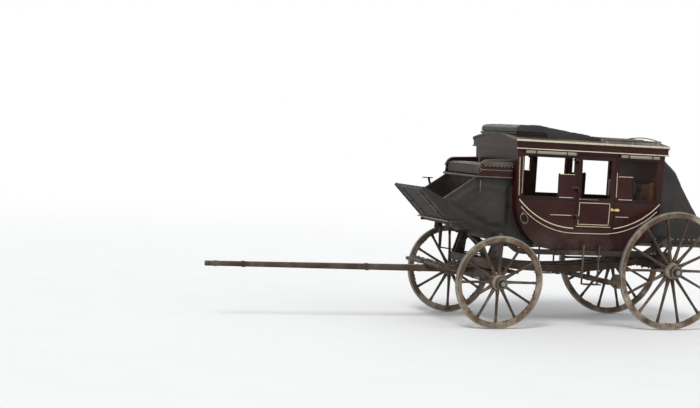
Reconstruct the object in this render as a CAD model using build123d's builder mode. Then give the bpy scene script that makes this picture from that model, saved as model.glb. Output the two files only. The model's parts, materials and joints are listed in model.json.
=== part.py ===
from build123d import *
from collections import namedtuple
from math import cos, radians, sin, tan
import os

os.makedirs("parts", exist_ok=True)

# Axes: +X is forward, +Y is the left side, +Z is up, and the wheels stand on Z = 0.
# All sizes are in millimetres.

# Driving sizes of the running gear
wheelbase = 2440.0
track = 1575.0
wheel_cant = 4.0
pole_reach = 3540.0
tyre_width = 48.0
tyre_thickness = 16.0
felloe_depth = 64.0
felloe_width = 44.0
running_gap = 0.3
collar_gap = 1.0

WheelSize = namedtuple(
    "WheelSize", "radius spokes nave_radius nave_in nave_out band_radius cap_radius arm_radius"
)
front_size = WheelSize(584.0, 12, 98.0, 130.0, 132.0, 80.0, 50.0, 27.0)
rear_size = WheelSize(774.5, 14, 108.0, 145.0, 148.0, 88.0, 54.0, 30.0)
nave_band = 34.0
nave_cap_length = 42.0

# Length layout: the rear tyre and the pole's tip are the two ends of the whole
rear_axle_x = -(wheelbase + pole_reach - rear_size.radius) / 2
front_axle_x = rear_axle_x + wheelbase
pole_tip_x = front_axle_x + pole_reach

# Egg shaped cabin, from the rear axle
sill_z = 990.0
tub_radius = 600.0
belt_z = 1650.0
wall_top_z = 2250.0
cabin_rear_x = rear_axle_x + 140.0
cabin_front_x = front_axle_x - 260.0
wall_lean = 30.0
wall_thickness = 30.0
floor_thickness = 60.0
half_width_belt = 665.0
top_lean = 10.0
mid_turn_under = 20.0
sill_turn_under = 90.0
half_width_top = half_width_belt - top_lean
half_width_mid = half_width_belt - mid_turn_under
half_width_sill = half_width_belt - sill_turn_under
side_reach = half_width_belt + 40.0
mid_z = 1290.0
tub_corner_z = sill_z + tub_radius

# Doors and window openings
door_width = 545.0
door_rear_x = (cabin_rear_x + cabin_front_x - door_width) / 2 - 72.5
door_front_x = door_rear_x + door_width
door_bottom_z = 1285.0
door_top_z = 2210.0
door_gap = 6.0
door_stile = 48.0
door_window_top_z = 2150.0
window_sill_z = 1668.0
window_top_z = 2165.0
wing_top_z = 1958.0
wing_width = 215.0
post_width = 42.0
corner_post = 62.0
hinge_pin_radius = 7.0
hinge_knuckle_radius = 12.0
hinge_out = 22.0
hinge_heights = (1390.0, 1740.0, 2090.0)
hinge_height = 44.0

# Roof
roof_edge_z = 2350.0
roof_rise = 70.0
roof_thickness = 24.0
cornice_out = 28.0
cornice_depth = 58.0
bead_height = 18.0
bead_out = 10.0
roof_overhang = 12.0

# Straps that carry the cabin
strap_width = 76.0
strap_y = half_width_sill - 15.0
strap_thickness = 64.0
strap_z = sill_z - strap_thickness / 2
strap_pin_radius = 20.0
strap_eye_radius = 44.0
front_pin_x = front_axle_x - 80.0
front_pin_z = 1150.0
rear_pin_x = rear_axle_x - 60.0
rear_pin_z = 1172.0
cheek_thickness = 14.0
cheek_gap = 1.0
pin_overhang = 5.0


def tub_outline(inset):
    """Closed side outline of the cabin, drawn inside by the inset."""
    rear = cabin_rear_x + inset
    front = cabin_front_x - inset
    bottom = sill_z + inset
    bend = (tub_radius - inset) * cos(radians(45))
    rear_bend_x = cabin_rear_x + tub_radius
    front_bend_x = cabin_front_x - tub_radius
    Polyline((rear, tub_corner_z), (rear - wall_lean, wall_top_z),
             (front + wall_lean, wall_top_z), (front, tub_corner_z))
    ThreePointArc((front, tub_corner_z), (front_bend_x + bend, tub_corner_z - bend),
                  (front_bend_x, bottom))
    Line((front_bend_x, bottom), (rear_bend_x, bottom))
    ThreePointArc((rear_bend_x, bottom), (rear_bend_x - bend, tub_corner_z - bend),
                  (rear, tub_corner_z))


def side_curve(inset):
    """Half cross-section of the cabin side with its turn-under, from top to sill."""
    Line((half_width_top - inset, wall_top_z), (half_width_belt - inset, belt_z))
    ThreePointArc((half_width_belt - inset, belt_z), (half_width_mid - inset, mid_z),
                  (half_width_sill - inset, sill_z))


def inner_section():
    """Whole cross-section between the two side walls."""
    side_curve(wall_thickness)
    Line((half_width_sill - wall_thickness, sill_z), (0, sill_z))
    Line((0, wall_top_z), (half_width_top - wall_thickness, wall_top_z))
    Line((0, sill_z), (0, wall_top_z))


# Solid of the whole cabin, used to seat its neighbours
with BuildPart() as cabin_envelope:
    with BuildSketch(Plane.YZ.offset(cabin_rear_x - 2 * wall_lean)):
        with BuildLine():
            side_curve(0)
            Line((half_width_sill, sill_z), (0, sill_z))
            Line((0, sill_z), (0, wall_top_z))
            Line((0, wall_top_z), (half_width_top, wall_top_z))
        make_face()
        mirror(about=Plane.YZ)
    extrude(amount=cabin_front_x - cabin_rear_x + 4 * wall_lean)
    with BuildSketch(Plane.XZ):
        with BuildLine():
            tub_outline(0)
        make_face()
    extrude(amount=side_reach, both=True, mode=Mode.INTERSECT)

# Room inside the four walls
with BuildPart() as cabin_room:
    with BuildSketch(Plane.YZ.offset(cabin_rear_x - 2 * wall_lean)):
        with BuildLine():
            inner_section()
        make_face()
        mirror(about=Plane.YZ)
    extrude(amount=cabin_front_x - cabin_rear_x + 4 * wall_lean)

# Side skin, a bent board with the openings cut through it
front_window_x = (door_front_x + post_width, cabin_front_x - corner_post)
rear_window_x = (cabin_rear_x + corner_post, door_rear_x - post_width)
with BuildPart() as side_skin:
    with BuildSketch(Plane.YZ.offset(cabin_rear_x - 2 * wall_lean)):
        with BuildLine():
            side_curve(0)
            side_curve(wall_thickness)
            Line((half_width_top - wall_thickness, wall_top_z), (half_width_top, wall_top_z))
            Line((half_width_sill - wall_thickness, sill_z), (half_width_sill, sill_z))
        make_face()
    extrude(amount=cabin_front_x - cabin_rear_x + 4 * wall_lean)
    with BuildSketch(Plane.XZ):
        with BuildLine():
            tub_outline(0)
        make_face()
    extrude(amount=-side_reach, mode=Mode.INTERSECT)

with BuildPart() as left_side_panel:
    add(side_skin.part)
    with BuildSketch(Plane.XZ):
        with BuildLine():
            Polyline((front_window_x[0], wing_top_z), (front_window_x[0], window_top_z),
                     (front_window_x[1], window_top_z), (front_window_x[1], window_sill_z),
                     (front_window_x[0] + wing_width, window_sill_z),
                     (front_window_x[0] + wing_width, wing_top_z), close=True)
        make_face()
        with BuildLine():
            Polyline((rear_window_x[1], wing_top_z), (rear_window_x[1], window_top_z),
                     (rear_window_x[0], window_top_z), (rear_window_x[0], window_sill_z),
                     (rear_window_x[1] - wing_width, window_sill_z),
                     (rear_window_x[1] - wing_width, wing_top_z), close=True)
        make_face()
        with BuildLine():
            Polyline((door_rear_x, door_bottom_z), (door_front_x, door_bottom_z),
                     (door_front_x, door_top_z), (door_rear_x, door_top_z), close=True)
        make_face()
    extrude(amount=-side_reach, mode=Mode.SUBTRACT)

hinge_x = door_front_x
hinge_y = half_width_belt + hinge_out
with BuildPart() as left_hinge_pins:
    for height in hinge_heights:
        with BuildSketch(Plane.XY.offset(height)):
            with Locations((hinge_x, hinge_y)):
                Circle(hinge_pin_radius)
        extrude(amount=3 * hinge_height / 2)
        with BuildSketch(Plane.XY.offset(height + hinge_height + 0.5)):
            with Locations((hinge_x, hinge_y)):
                Circle(hinge_knuckle_radius)
            with Locations((hinge_x + 22, hinge_y - hinge_out / 2 - 4)):
                Rectangle(44, hinge_out + 8)
        extrude(amount=hinge_height / 2)
    add(side_skin.part, mode=Mode.SUBTRACT)

with BuildPart() as left_door:
    add(side_skin.part)
    with BuildSketch(Plane.XZ):
        with BuildLine():
            Polyline((door_rear_x + door_gap, door_bottom_z + door_gap),
                     (door_front_x - door_gap, door_bottom_z + door_gap),
                     (door_front_x - door_gap, door_top_z - door_gap),
                     (door_rear_x + door_gap, door_top_z - door_gap), close=True)
        make_face()
        with BuildLine():
            Polyline((door_rear_x + door_gap + door_stile, window_sill_z),
                     (door_front_x - door_gap - door_stile, window_sill_z),
                     (door_front_x - door_gap - door_stile, door_window_top_z),
                     (door_rear_x + door_gap + door_stile, door_window_top_z), close=True)
        make_face(mode=Mode.SUBTRACT)
    extrude(amount=-side_reach, mode=Mode.INTERSECT)
    for height in hinge_heights:
        with BuildSketch(Plane.XY.offset(height)):
            with Locations((hinge_x, hinge_y)):
                Circle(hinge_knuckle_radius)
            with Locations((hinge_x - 25, hinge_y - hinge_out / 2 - 4)):
                Rectangle(40, hinge_out + 8)
            with Locations((hinge_x - 14, hinge_y - 4)):
                Rectangle(20, 8)
            with Locations((hinge_x, hinge_y)):
                Circle(hinge_pin_radius + running_gap, mode=Mode.SUBTRACT)
        extrude(amount=hinge_height)

# Lever handle on the door's rear stile, reaching over the door post
handle_z = 1528.0
handle_lift = 14.0
with BuildPart() as left_door_handle:
    with BuildSketch(Plane.XZ.offset(-half_width_belt - handle_lift)):
        with Locations((door_rear_x - 5, handle_z)):
            SlotOverall(118, 20)
    extrude(amount=-12)
    with BuildSketch(Plane.XZ.offset(-half_width_mid)):
        with Locations((door_rear_x + door_gap + 26, handle_z)):
            Circle(10)
    extrude(amount=-(half_width_belt - half_width_mid + handle_lift + 6))
    add(side_skin.part, mode=Mode.SUBTRACT)

# Curved belly mouldings, belt rail and door frame line, proud of the side skin
moulding_proud = 9.0
belly_flat = 400.0
belly_radius = 1100.0
belly_lines = (door_bottom_z - 16, door_bottom_z - 78)
belly_width = 14.0
cabin_mid_x = (cabin_rear_x + cabin_front_x) / 2


def belly_band(low_z, width):
    """Strip of even width that runs along the belly and rises at both ends."""
    for inset in (0, width):
        arc_radius = belly_radius - inset
        top_z = low_z + belly_radius
        run = arc_radius * sin(radians(52))
        rise = arc_radius * (1 - cos(radians(52)))
        half = arc_radius * sin(radians(26))
        half_rise = arc_radius * (1 - cos(radians(26)))
        for side in (-1, 1):
            start_x = cabin_mid_x + side * belly_flat / 2
            ThreePointArc((start_x, low_z + inset),
                          (start_x + side * half, low_z + inset + half_rise),
                          (start_x + side * run, low_z + inset + rise))
        Line((cabin_mid_x - belly_flat / 2, low_z + inset),
             (cabin_mid_x + belly_flat / 2, low_z + inset))
    for side in (-1, 1):
        start_x = cabin_mid_x + side * belly_flat / 2
        ends = []
        for inset in (0, width):
            arc_radius = belly_radius - inset
            ends.append((start_x + side * arc_radius * sin(radians(52)),
                         low_z + inset + arc_radius * (1 - cos(radians(52)))))
        Line(ends[0], ends[1])


with BuildPart() as moulding_skin:
    with BuildSketch(Plane.YZ.offset(cabin_rear_x - 2 * wall_lean)):
        with BuildLine():
            side_curve(0)
            side_curve(-moulding_proud)
            Line((half_width_top, wall_top_z), (half_width_top + moulding_proud, wall_top_z))
            Line((half_width_sill, sill_z), (half_width_sill + moulding_proud, sill_z))
        make_face()
    extrude(amount=cabin_front_x - cabin_rear_x + 4 * wall_lean)

with BuildPart() as left_mouldings:
    add(moulding_skin.part)
    with BuildSketch(Plane.XZ) as strips:
        for low_z in belly_lines:
            with BuildLine():
                belly_band(low_z, belly_width)
            make_face()
        for x_from, x_to in ((cabin_rear_x, door_rear_x - 12), (door_front_x + 12, cabin_front_x)):
            with BuildLine():
                Polyline((x_from, belt_z - 18), (x_to, belt_z - 18), (x_to, belt_z),
                         (x_from, belt_z), close=True)
            make_face()
    extrude(amount=-side_reach, mode=Mode.INTERSECT)
    with BuildSketch(Plane.XZ):
        with BuildLine():
            tub_outline(0)
        make_face()
    extrude(amount=-side_reach, mode=Mode.INTERSECT)
    add(left_door.part, mode=Mode.SUBTRACT)
    with BuildSketch(Plane.XZ):
        with BuildLine():
            Polyline((door_rear_x, door_bottom_z), (door_front_x, door_bottom_z),
                     (door_front_x, door_top_z), (door_rear_x, door_top_z), close=True)
        make_face()
    extrude(amount=-side_reach, mode=Mode.SUBTRACT)

# Front wall, floor and rear wall fit between the two sides
rear_bend_x = cabin_rear_x + tub_radius
front_bend_x = cabin_front_x - tub_radius
end_walls = {}
for wall, x_from, x_to in (("rear_wall", cabin_rear_x - 100, rear_bend_x),
                           ("front_wall", front_bend_x, cabin_front_x + 100)):
    with BuildPart() as end_wall:
        with BuildSketch(Plane.XZ):
            with BuildLine():
                tub_outline(0)
            make_face()
            with BuildLine():
                tub_outline(wall_thickness)
            make_face(mode=Mode.SUBTRACT)
            with Locations(((x_from + x_to) / 2, (sill_z + wall_top_z - 30) / 2)):
                Rectangle(x_to - x_from, wall_top_z - sill_z + 100, mode=Mode.INTERSECT)
        extrude(amount=side_reach, both=True)
        add(cabin_room.part, mode=Mode.INTERSECT)
    end_walls[wall] = end_wall.part

with BuildPart() as floor:
    with BuildSketch(Plane.XZ):
        with BuildLine():
            Polyline((rear_bend_x, sill_z), (front_bend_x, sill_z),
                     (front_bend_x, sill_z + floor_thickness),
                     (rear_bend_x, sill_z + floor_thickness), close=True)
        make_face()
    extrude(amount=side_reach, both=True)
    add(cabin_room.part, mode=Mode.INTERSECT)
    for wall_part in end_walls.values():
        add(wall_part, mode=Mode.SUBTRACT)

# Roof board, a shallow arch, on a cornice that runs round the tops of the walls
cornice_half = half_width_top + cornice_out
roof_half = cornice_half + roof_overhang
roof_rear_x = cabin_rear_x - wall_lean - cornice_out
roof_front_x = cabin_front_x + wall_lean + cornice_out
roof_mid_x = (roof_rear_x + roof_front_x) / 2
roof_length = roof_front_x - roof_rear_x
with BuildPart() as roof:
    with BuildSketch(Plane.YZ.offset(roof_rear_x - roof_overhang)):
        with BuildLine():
            ThreePointArc((-roof_half, roof_edge_z), (0, roof_edge_z + roof_rise),
                          (roof_half, roof_edge_z))
            Line((roof_half, roof_edge_z), (roof_half, roof_edge_z + roof_thickness))
            ThreePointArc((-roof_half, roof_edge_z + roof_thickness),
                          (0, roof_edge_z + roof_rise + roof_thickness),
                          (roof_half, roof_edge_z + roof_thickness))
            Line((-roof_half, roof_edge_z), (-roof_half, roof_edge_z + roof_thickness))
        make_face()
    extrude(amount=roof_length + 2 * roof_overhang)

with BuildPart() as under_roof:
    with BuildSketch(Plane.YZ.offset(roof_rear_x - 100)):
        with BuildLine():
            ThreePointArc((-roof_half, roof_edge_z), (0, roof_edge_z + roof_rise),
                          (roof_half, roof_edge_z))
            Polyline((roof_half, roof_edge_z), (roof_half, wall_top_z), (-roof_half, wall_top_z),
                     (-roof_half, roof_edge_z))
        make_face()
    extrude(amount=roof_length + 200)

with BuildPart() as cornice:
    with BuildSketch(Plane.XY.offset(wall_top_z)):
        with Locations((roof_mid_x, 0)):
            Rectangle(roof_length, 2 * cornice_half)
            Rectangle(roof_length - 2 * cornice_depth, 2 * (cornice_half - cornice_depth),
                      mode=Mode.SUBTRACT)
    extrude(amount=roof_edge_z - wall_top_z + roof_rise)
    add(under_roof.part, mode=Mode.INTERSECT)
    for bead_z in (wall_top_z, roof_edge_z - bead_height - 1):
        with BuildSketch(Plane.XY.offset(bead_z)):
            with Locations((roof_mid_x, 0)):
                Rectangle(roof_length + 2 * bead_out, 2 * (cornice_half + bead_out))
                Rectangle(roof_length - 2 * cornice_depth, 2 * (cornice_half - cornice_depth),
                          mode=Mode.SUBTRACT)
        extrude(amount=bead_height)

# Rolled leather curtains, strapped up under the cornice over the window openings
curtain_radius = 24.0
with BuildPart() as left_curtain_rolls:
    for x_from, x_to in (front_window_x, rear_window_x):
        with BuildSketch(Plane.YZ.offset(x_from + 8)):
            with Locations((half_width_top + curtain_radius + 0.9, wall_top_z - curtain_radius - 6)):
                Circle(curtain_radius)
        extrude(amount=x_to - x_from - 16)

# Benches: rear and front ones on the end walls, and a loose plank bench between the doors
seat_z = 1385.0
seat_board = 24.0
bench_depth = 440.0
cushion_height = 92.0
riser = 22.0
middle_seat_z = 1400.0
middle_half = 112.0
side_clear = 2.0
cushion_half = half_width_belt - wall_thickness - 45.0
middle_bench_half = cushion_half - 50.0
back_height = 430.0
back_thickness = 80.0
door_mid_x = (door_rear_x + door_front_x) / 2
rear_bench_front = cabin_rear_x + wall_thickness + bench_depth
front_bench_front = cabin_front_x - wall_thickness - bench_depth

with BuildPart() as room_solid:
    add(cabin_envelope.part)
    with BuildSketch(Plane.XZ):
        with BuildLine():
            tub_outline(wall_thickness)
        make_face()
    extrude(amount=side_reach, both=True, mode=Mode.INTERSECT)
    add(cabin_room.part, mode=Mode.INTERSECT)
    add(floor.part, mode=Mode.SUBTRACT)

with BuildPart() as bench_frames:
    with BuildSketch(Plane.XZ):
        Bench = namedtuple("Bench", "wall_x front_x facing")
        for bench in (Bench(cabin_rear_x - 60, rear_bench_front, 1),
                      Bench(cabin_front_x + 60, front_bench_front, -1)):
            with BuildLine():
                Polyline((bench.wall_x, seat_z), (bench.front_x, seat_z),
                         (bench.front_x, sill_z), (bench.front_x - bench.facing * riser, sill_z),
                         (bench.front_x - bench.facing * riser, seat_z - seat_board),
                         (bench.wall_x, seat_z - seat_board), close=True)
            make_face()
    extrude(amount=side_reach, both=True)
    with BuildSketch(Plane.XZ):
        with Locations((door_mid_x, middle_seat_z - seat_board / 2)):
            Rectangle(2 * middle_half, seat_board)
    extrude(amount=middle_bench_half, both=True)
    for leg_y in (160 - middle_bench_half, middle_bench_half - 160):
        with BuildSketch(Plane.XY.offset(sill_z + floor_thickness)):
            with Locations((door_mid_x, leg_y)):
                Rectangle(120, 34)
        extrude(amount=middle_seat_z - seat_board - sill_z - floor_thickness)
    add(room_solid.part, mode=Mode.INTERSECT)

with BuildPart() as bench_cushions:
    for x_from, x_to in ((cabin_rear_x + wall_thickness + 6, rear_bench_front),
                         (front_bench_front, cabin_front_x - wall_thickness - 6)):
        with BuildSketch(Plane.XY.offset(seat_z)):
            with Locations(((x_from + x_to) / 2, 0)):
                Rectangle(x_to - x_from, 2 * cushion_half)
        extrude(amount=cushion_height)
    with BuildSketch(Plane.XY.offset(middle_seat_z)):
        with Locations((door_mid_x, 0)):
            Rectangle(2 * middle_half, 2 * (middle_bench_half - 5))
    extrude(amount=cushion_height / 2)

with BuildPart() as bench_backs:
    for x_from in (cabin_rear_x + wall_thickness, cabin_front_x - wall_thickness - back_thickness):
        with BuildSketch(Plane.XY.offset(seat_z + cushion_height + side_clear)):
            with Locations((x_from + back_thickness / 2, 0)):
                Rectangle(back_thickness, 2 * cushion_half)
        extrude(amount=back_height)
    add(bench_cushions.part)
    add(room_solid.part, mode=Mode.INTERSECT)

# Front boot: two cheeks, a curved bottom, a bulkhead under the seat and the sloping footboard
strap_clear = 7.0
boot_half = strap_y - strap_width / 2 - cheek_gap - cheek_thickness - strap_clear
boot_board = 25.0
boot_top_z = 1865.0
seat_front_x = front_axle_x + 265.0
boot_heel = (front_axle_x + 520.0, 1255.0)
boot_tip = (front_axle_x + 965.0, 1700.0)
cheek_dip = (front_axle_x + 680.0, 1587.0)
footboard_thickness = 28.0
boot_start = (front_axle_x - 590.0, 1003.0)
boot_mid = (front_axle_x - 170.0, 1062.0)
boot_rise = (front_axle_x + 200.0, 1196.0)


# Corners of the stuffed leather side, forward of the front axle, and how each draws in as it swells
boot_swell = 20.0
boot_side_panel = ((640, 1555, -62, -8), (268, 1818, -12, -52), (-222, 1818, 46, -52),
                   (-222, 1222, 46, 52), (60, 1258, -6, 56), (330, 1385, -18, 52))


def boot_bottom(lift):
    ThreePointArc((boot_start[0], boot_start[1] + lift), (boot_mid[0], boot_mid[1] + lift),
                  (boot_rise[0], boot_rise[1] + lift))
    Line((boot_rise[0], boot_rise[1] + lift), (boot_heel[0], boot_heel[1] + lift))


with BuildPart() as footboard:
    with BuildSketch(Plane.XZ):
        with BuildLine():
            Polyline(boot_heel, boot_tip,
                     (boot_tip[0] - footboard_thickness * 0.7, boot_tip[1] + footboard_thickness * 0.7),
                     (boot_heel[0] - footboard_thickness * 0.7, boot_heel[1] + footboard_thickness * 0.7),
                     close=True)
        make_face()
    extrude(amount=boot_half, both=True)

with BuildPart() as boot_cheeks:
    with BuildSketch(Plane.XZ.offset(-boot_half)):
        with BuildLine():
            boot_bottom(0)
            Polyline(boot_heel, boot_tip, (boot_tip[0] - 26, boot_tip[1] + 24), cheek_dip,
                     (seat_front_x, boot_top_z), (boot_start[0], boot_top_z), boot_start)
        make_face()
    extrude(amount=boot_board)
    for out, inset in ((0, 0), (boot_swell, 1)):
        with BuildSketch(Plane.XZ.offset(-boot_half - out)):
            with BuildLine():
                Polyline(*[(front_axle_x + x + inset * dx, z + inset * dz)
                           for x, z, dx, dz in boot_side_panel], close=True)
            make_face()
    loft()
    mirror(about=Plane.XZ)
    add(footboard.part, mode=Mode.SUBTRACT)
    add(cabin_envelope.part, mode=Mode.SUBTRACT)

with BuildPart() as boot_floor:
    with BuildSketch(Plane.XZ):
        with BuildLine():
            boot_bottom(0)
            boot_bottom(boot_board)
            Line(boot_start, (boot_start[0], boot_start[1] + boot_board))
            Line(boot_heel, (boot_heel[0], boot_heel[1] + boot_board))
        make_face()
        with Locations((seat_front_x - 20 - boot_board / 2, (boot_rise[1] + boot_top_z) / 2)):
            Rectangle(boot_board, boot_top_z - boot_rise[1])
    extrude(amount=boot_half - boot_board, both=True)
    add(footboard.part, mode=Mode.SUBTRACT)
    add(cabin_envelope.part, mode=Mode.SUBTRACT)

# Driver's seat on the boot
seat_half = boot_half + 60.0
seat_side = 24.0
seat_rear_x = cabin_front_x + wall_lean + 8
with BuildPart() as driver_seat:
    with BuildSketch(Plane.XY.offset(boot_top_z)):
        with Locations(((seat_rear_x + seat_front_x) / 2, 0)):
            Rectangle(seat_front_x - seat_rear_x, 2 * seat_half)
    extrude(amount=30)
    with BuildSketch(Plane.XZ.offset(-seat_half)):
        with BuildLine():
            Polyline((seat_rear_x, boot_top_z + 30), (seat_front_x - 20, boot_top_z + 30),
                     (seat_front_x - 34, boot_top_z + 120))
            ThreePointArc((seat_front_x - 34, boot_top_z + 120),
                          (seat_front_x - 62, boot_top_z + 185), (seat_front_x - 130, boot_top_z + 214))
            Polyline((seat_front_x - 130, boot_top_z + 214), (seat_rear_x, boot_top_z + 232),
                     (seat_rear_x, boot_top_z + 30))
        make_face()
    extrude(amount=seat_side)
    with BuildSketch(Plane.XZ.offset(seat_half)):
        with BuildLine():
            Polyline((seat_rear_x, boot_top_z + 30), (seat_front_x - 20, boot_top_z + 30),
                     (seat_front_x - 34, boot_top_z + 120))
            ThreePointArc((seat_front_x - 34, boot_top_z + 120),
                          (seat_front_x - 62, boot_top_z + 185), (seat_front_x - 130, boot_top_z + 214))
            Polyline((seat_front_x - 130, boot_top_z + 214), (seat_rear_x, boot_top_z + 232),
                     (seat_rear_x, boot_top_z + 30))
        make_face()
    extrude(amount=-seat_side)

with BuildPart() as driver_cushion:
    with BuildSketch(Plane.XY.offset(boot_top_z + 30)):
        with Locations(((seat_rear_x + seat_front_x) / 2 - 6, 0)):
            Rectangle(seat_front_x - seat_rear_x - 40, 2 * (seat_half - seat_side - side_clear))
    extrude(amount=140)

# Seat on the front of the roof, with its wedge of padded leather
deck_half = half_width_top - 95.0
deck_front_x = roof_front_x - 40
deck_rear_x = deck_front_x - 1210
deck_board = 26.0
deck_z = roof_edge_z + roof_rise + roof_thickness + 12
with BuildPart() as over_roof:
    with BuildSketch(Plane.YZ.offset(roof_rear_x - 100)):
        with BuildLine():
            ThreePointArc((-roof_half, roof_edge_z + roof_thickness),
                          (0, roof_edge_z + roof_rise + roof_thickness),
                          (roof_half, roof_edge_z + roof_thickness))
            Polyline((roof_half, roof_edge_z + roof_thickness), (roof_half, roof_edge_z + 720),
                     (-roof_half, roof_edge_z + 720), (-roof_half, roof_edge_z + roof_thickness))
        make_face()
    extrude(amount=roof_length + 200)

with BuildPart() as deck_seat:
    with BuildSketch(Plane.XY.offset(deck_z - deck_board)):
        with Locations((deck_front_x - 210, 0)):
            Rectangle(420, 2 * deck_half)
    extrude(amount=deck_board)
    with BuildSketch(Plane.XY.offset(roof_edge_z)):
        with Locations((deck_front_x - 210, 0)):
            Rectangle(400, 2 * deck_half - 20)
            Rectangle(400 - 2 * deck_board, 2 * deck_half - 20 - 2 * deck_board, mode=Mode.SUBTRACT)
    extrude(amount=deck_z - deck_board - roof_edge_z)
    add(over_roof.part, mode=Mode.INTERSECT)

with BuildPart() as deck_cushion:
    with BuildSketch(Plane.XZ):
        with BuildLine():
            Polyline((deck_front_x, deck_z), (deck_front_x, deck_z + 62),
                     (deck_front_x - 60, deck_z + 92), (deck_front_x - 360, deck_z + 100),
                     (deck_rear_x, deck_z - 22), (deck_rear_x, roof_edge_z),
                     (deck_front_x - 420 - side_clear, roof_edge_z),
                     (deck_front_x - 420 - side_clear, deck_z), close=True)
        make_face()
    extrude(amount=deck_half, both=True)
    add(over_roof.part, mode=Mode.INTERSECT)

# Low iron rail round the rear of the roof, with bent corners and a bowed run across the back
rail_radius = 7.0
post_radius = 8.0
knob_radius = 12.0
rail_bend = 120.0
rail_lift = 56.0
rail_bow = 46.0
rail_z = roof_edge_z + roof_thickness + rail_lift
rail_y = half_width_top - 35.0
rail_rear_x = roof_rear_x + 30
rail_front_x = deck_rear_x - 40
rail_posts = ((rail_front_x, rail_y), ((rail_front_x + rail_rear_x + rail_bend) / 2, rail_y),
              (rail_rear_x + rail_bend, rail_y), (rail_rear_x, rail_y - rail_bend))
with BuildPart() as roof_rails:
    for side in (-1, 1):
        with BuildSketch(Plane.YZ.offset(rail_rear_x + rail_bend)):
            with Locations((side * rail_y, rail_z)):
                Circle(rail_radius)
        extrude(amount=rail_front_x - rail_rear_x - rail_bend)
        with BuildSketch(Plane.YZ.offset(rail_rear_x + rail_bend)):
            with Locations((side * rail_y, rail_z)):
                Circle(rail_radius)
        revolve(axis=Axis((rail_rear_x + rail_bend, side * (rail_y - rail_bend), 0), (0, 0, side)),
                revolution_arc=90)
        for post_x, post_y in rail_posts:
            with BuildSketch(Plane.XY.offset(roof_edge_z)):
                with Locations((post_x, side * post_y)):
                    Circle(post_radius)
            extrude(amount=rail_z - roof_edge_z)
            with Locations((post_x, side * post_y, rail_z)):
                Sphere(knob_radius)
    with BuildLine() as rail_back:
        ThreePointArc((rail_rear_x, -rail_y + rail_bend, rail_z), (rail_rear_x, 0, rail_z + rail_bow),
                      (rail_rear_x, rail_y - rail_bend, rail_z))
    with BuildSketch(rail_back.line ^ 0):
        Circle(rail_radius)
    sweep(path=rail_back.line)
    add(over_roof.part, mode=Mode.INTERSECT)

# Rear boot: slatted deck under a leather cover that slopes down from the roof
rear_boot_half = boot_half
rear_boot_end_x = rear_axle_x - 735.0
rear_deck_z = 1100.0
rear_deck_thickness = 36.0
with BuildPart() as rear_boot_deck:
    with BuildSketch(Plane.XZ):
        with BuildLine():
            Polyline((rear_boot_end_x, rear_deck_z - rear_deck_thickness),
                     (cabin_rear_x + 300, rear_deck_z - rear_deck_thickness),
                     (cabin_rear_x + 300, rear_deck_z), (rear_boot_end_x, rear_deck_z), close=True)
        make_face()
    extrude(amount=rear_boot_half, both=True)
    add(cabin_envelope.part, mode=Mode.SUBTRACT)

with BuildPart() as rear_boot_cover:
    with BuildSketch(Plane.XZ):
        with BuildLine():
            Polyline((rear_boot_end_x + 20, rear_deck_z), (rear_boot_end_x, rear_deck_z + 90),
                     (rear_axle_x - 480, 1560), (rear_axle_x - 150, 2060),
                     (roof_rear_x - bead_out - 2, wall_top_z + 10),
                     (roof_rear_x - bead_out - 2, wall_top_z - 8),
                     (cabin_rear_x + 200, wall_top_z - 8), (cabin_rear_x + 300, rear_deck_z),
                     close=True)
        make_face()
    extrude(amount=rear_boot_half, both=True)
    add(cabin_envelope.part, mode=Mode.SUBTRACT)

# Leather straps slung between the standards, under the sills
with BuildPart() as left_thoroughbrace:
    with BuildSketch(Plane.XZ.offset(-strap_y - strap_width / 2)):
        with BuildLine():
            FilletPolyline((front_pin_x, front_pin_z), (front_axle_x - 355, strap_z),
                           (rear_axle_x + 265, strap_z), (rear_pin_x, rear_pin_z), radius=170)
        trace(line_width=strap_thickness)
        with Locations((front_pin_x, front_pin_z), (rear_pin_x, rear_pin_z)):
            Circle(strap_eye_radius)
            Circle(strap_pin_radius + running_gap, mode=Mode.SUBTRACT)
    extrude(amount=strap_width)

# Wheel stance: the axle arms droop so that the lowest spoke of each dished wheel stands plumb
cant = radians(wheel_cant)


def rim_centre(size):
    """Height and distance from the middle plane of a wheel's rim centre."""
    height = size.radius * cos(cant) + tyre_width / 2 * sin(cant)
    return height, track / 2 + size.radius * sin(cant)


def wheel_location(size, x, side):
    """Turns local +Z, the way out of the hub, to the side and down by the cant."""
    height, out = rim_centre(size)
    return Location((x, side * out, height), (-side * (90 + wheel_cant), 0, 0))


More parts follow.
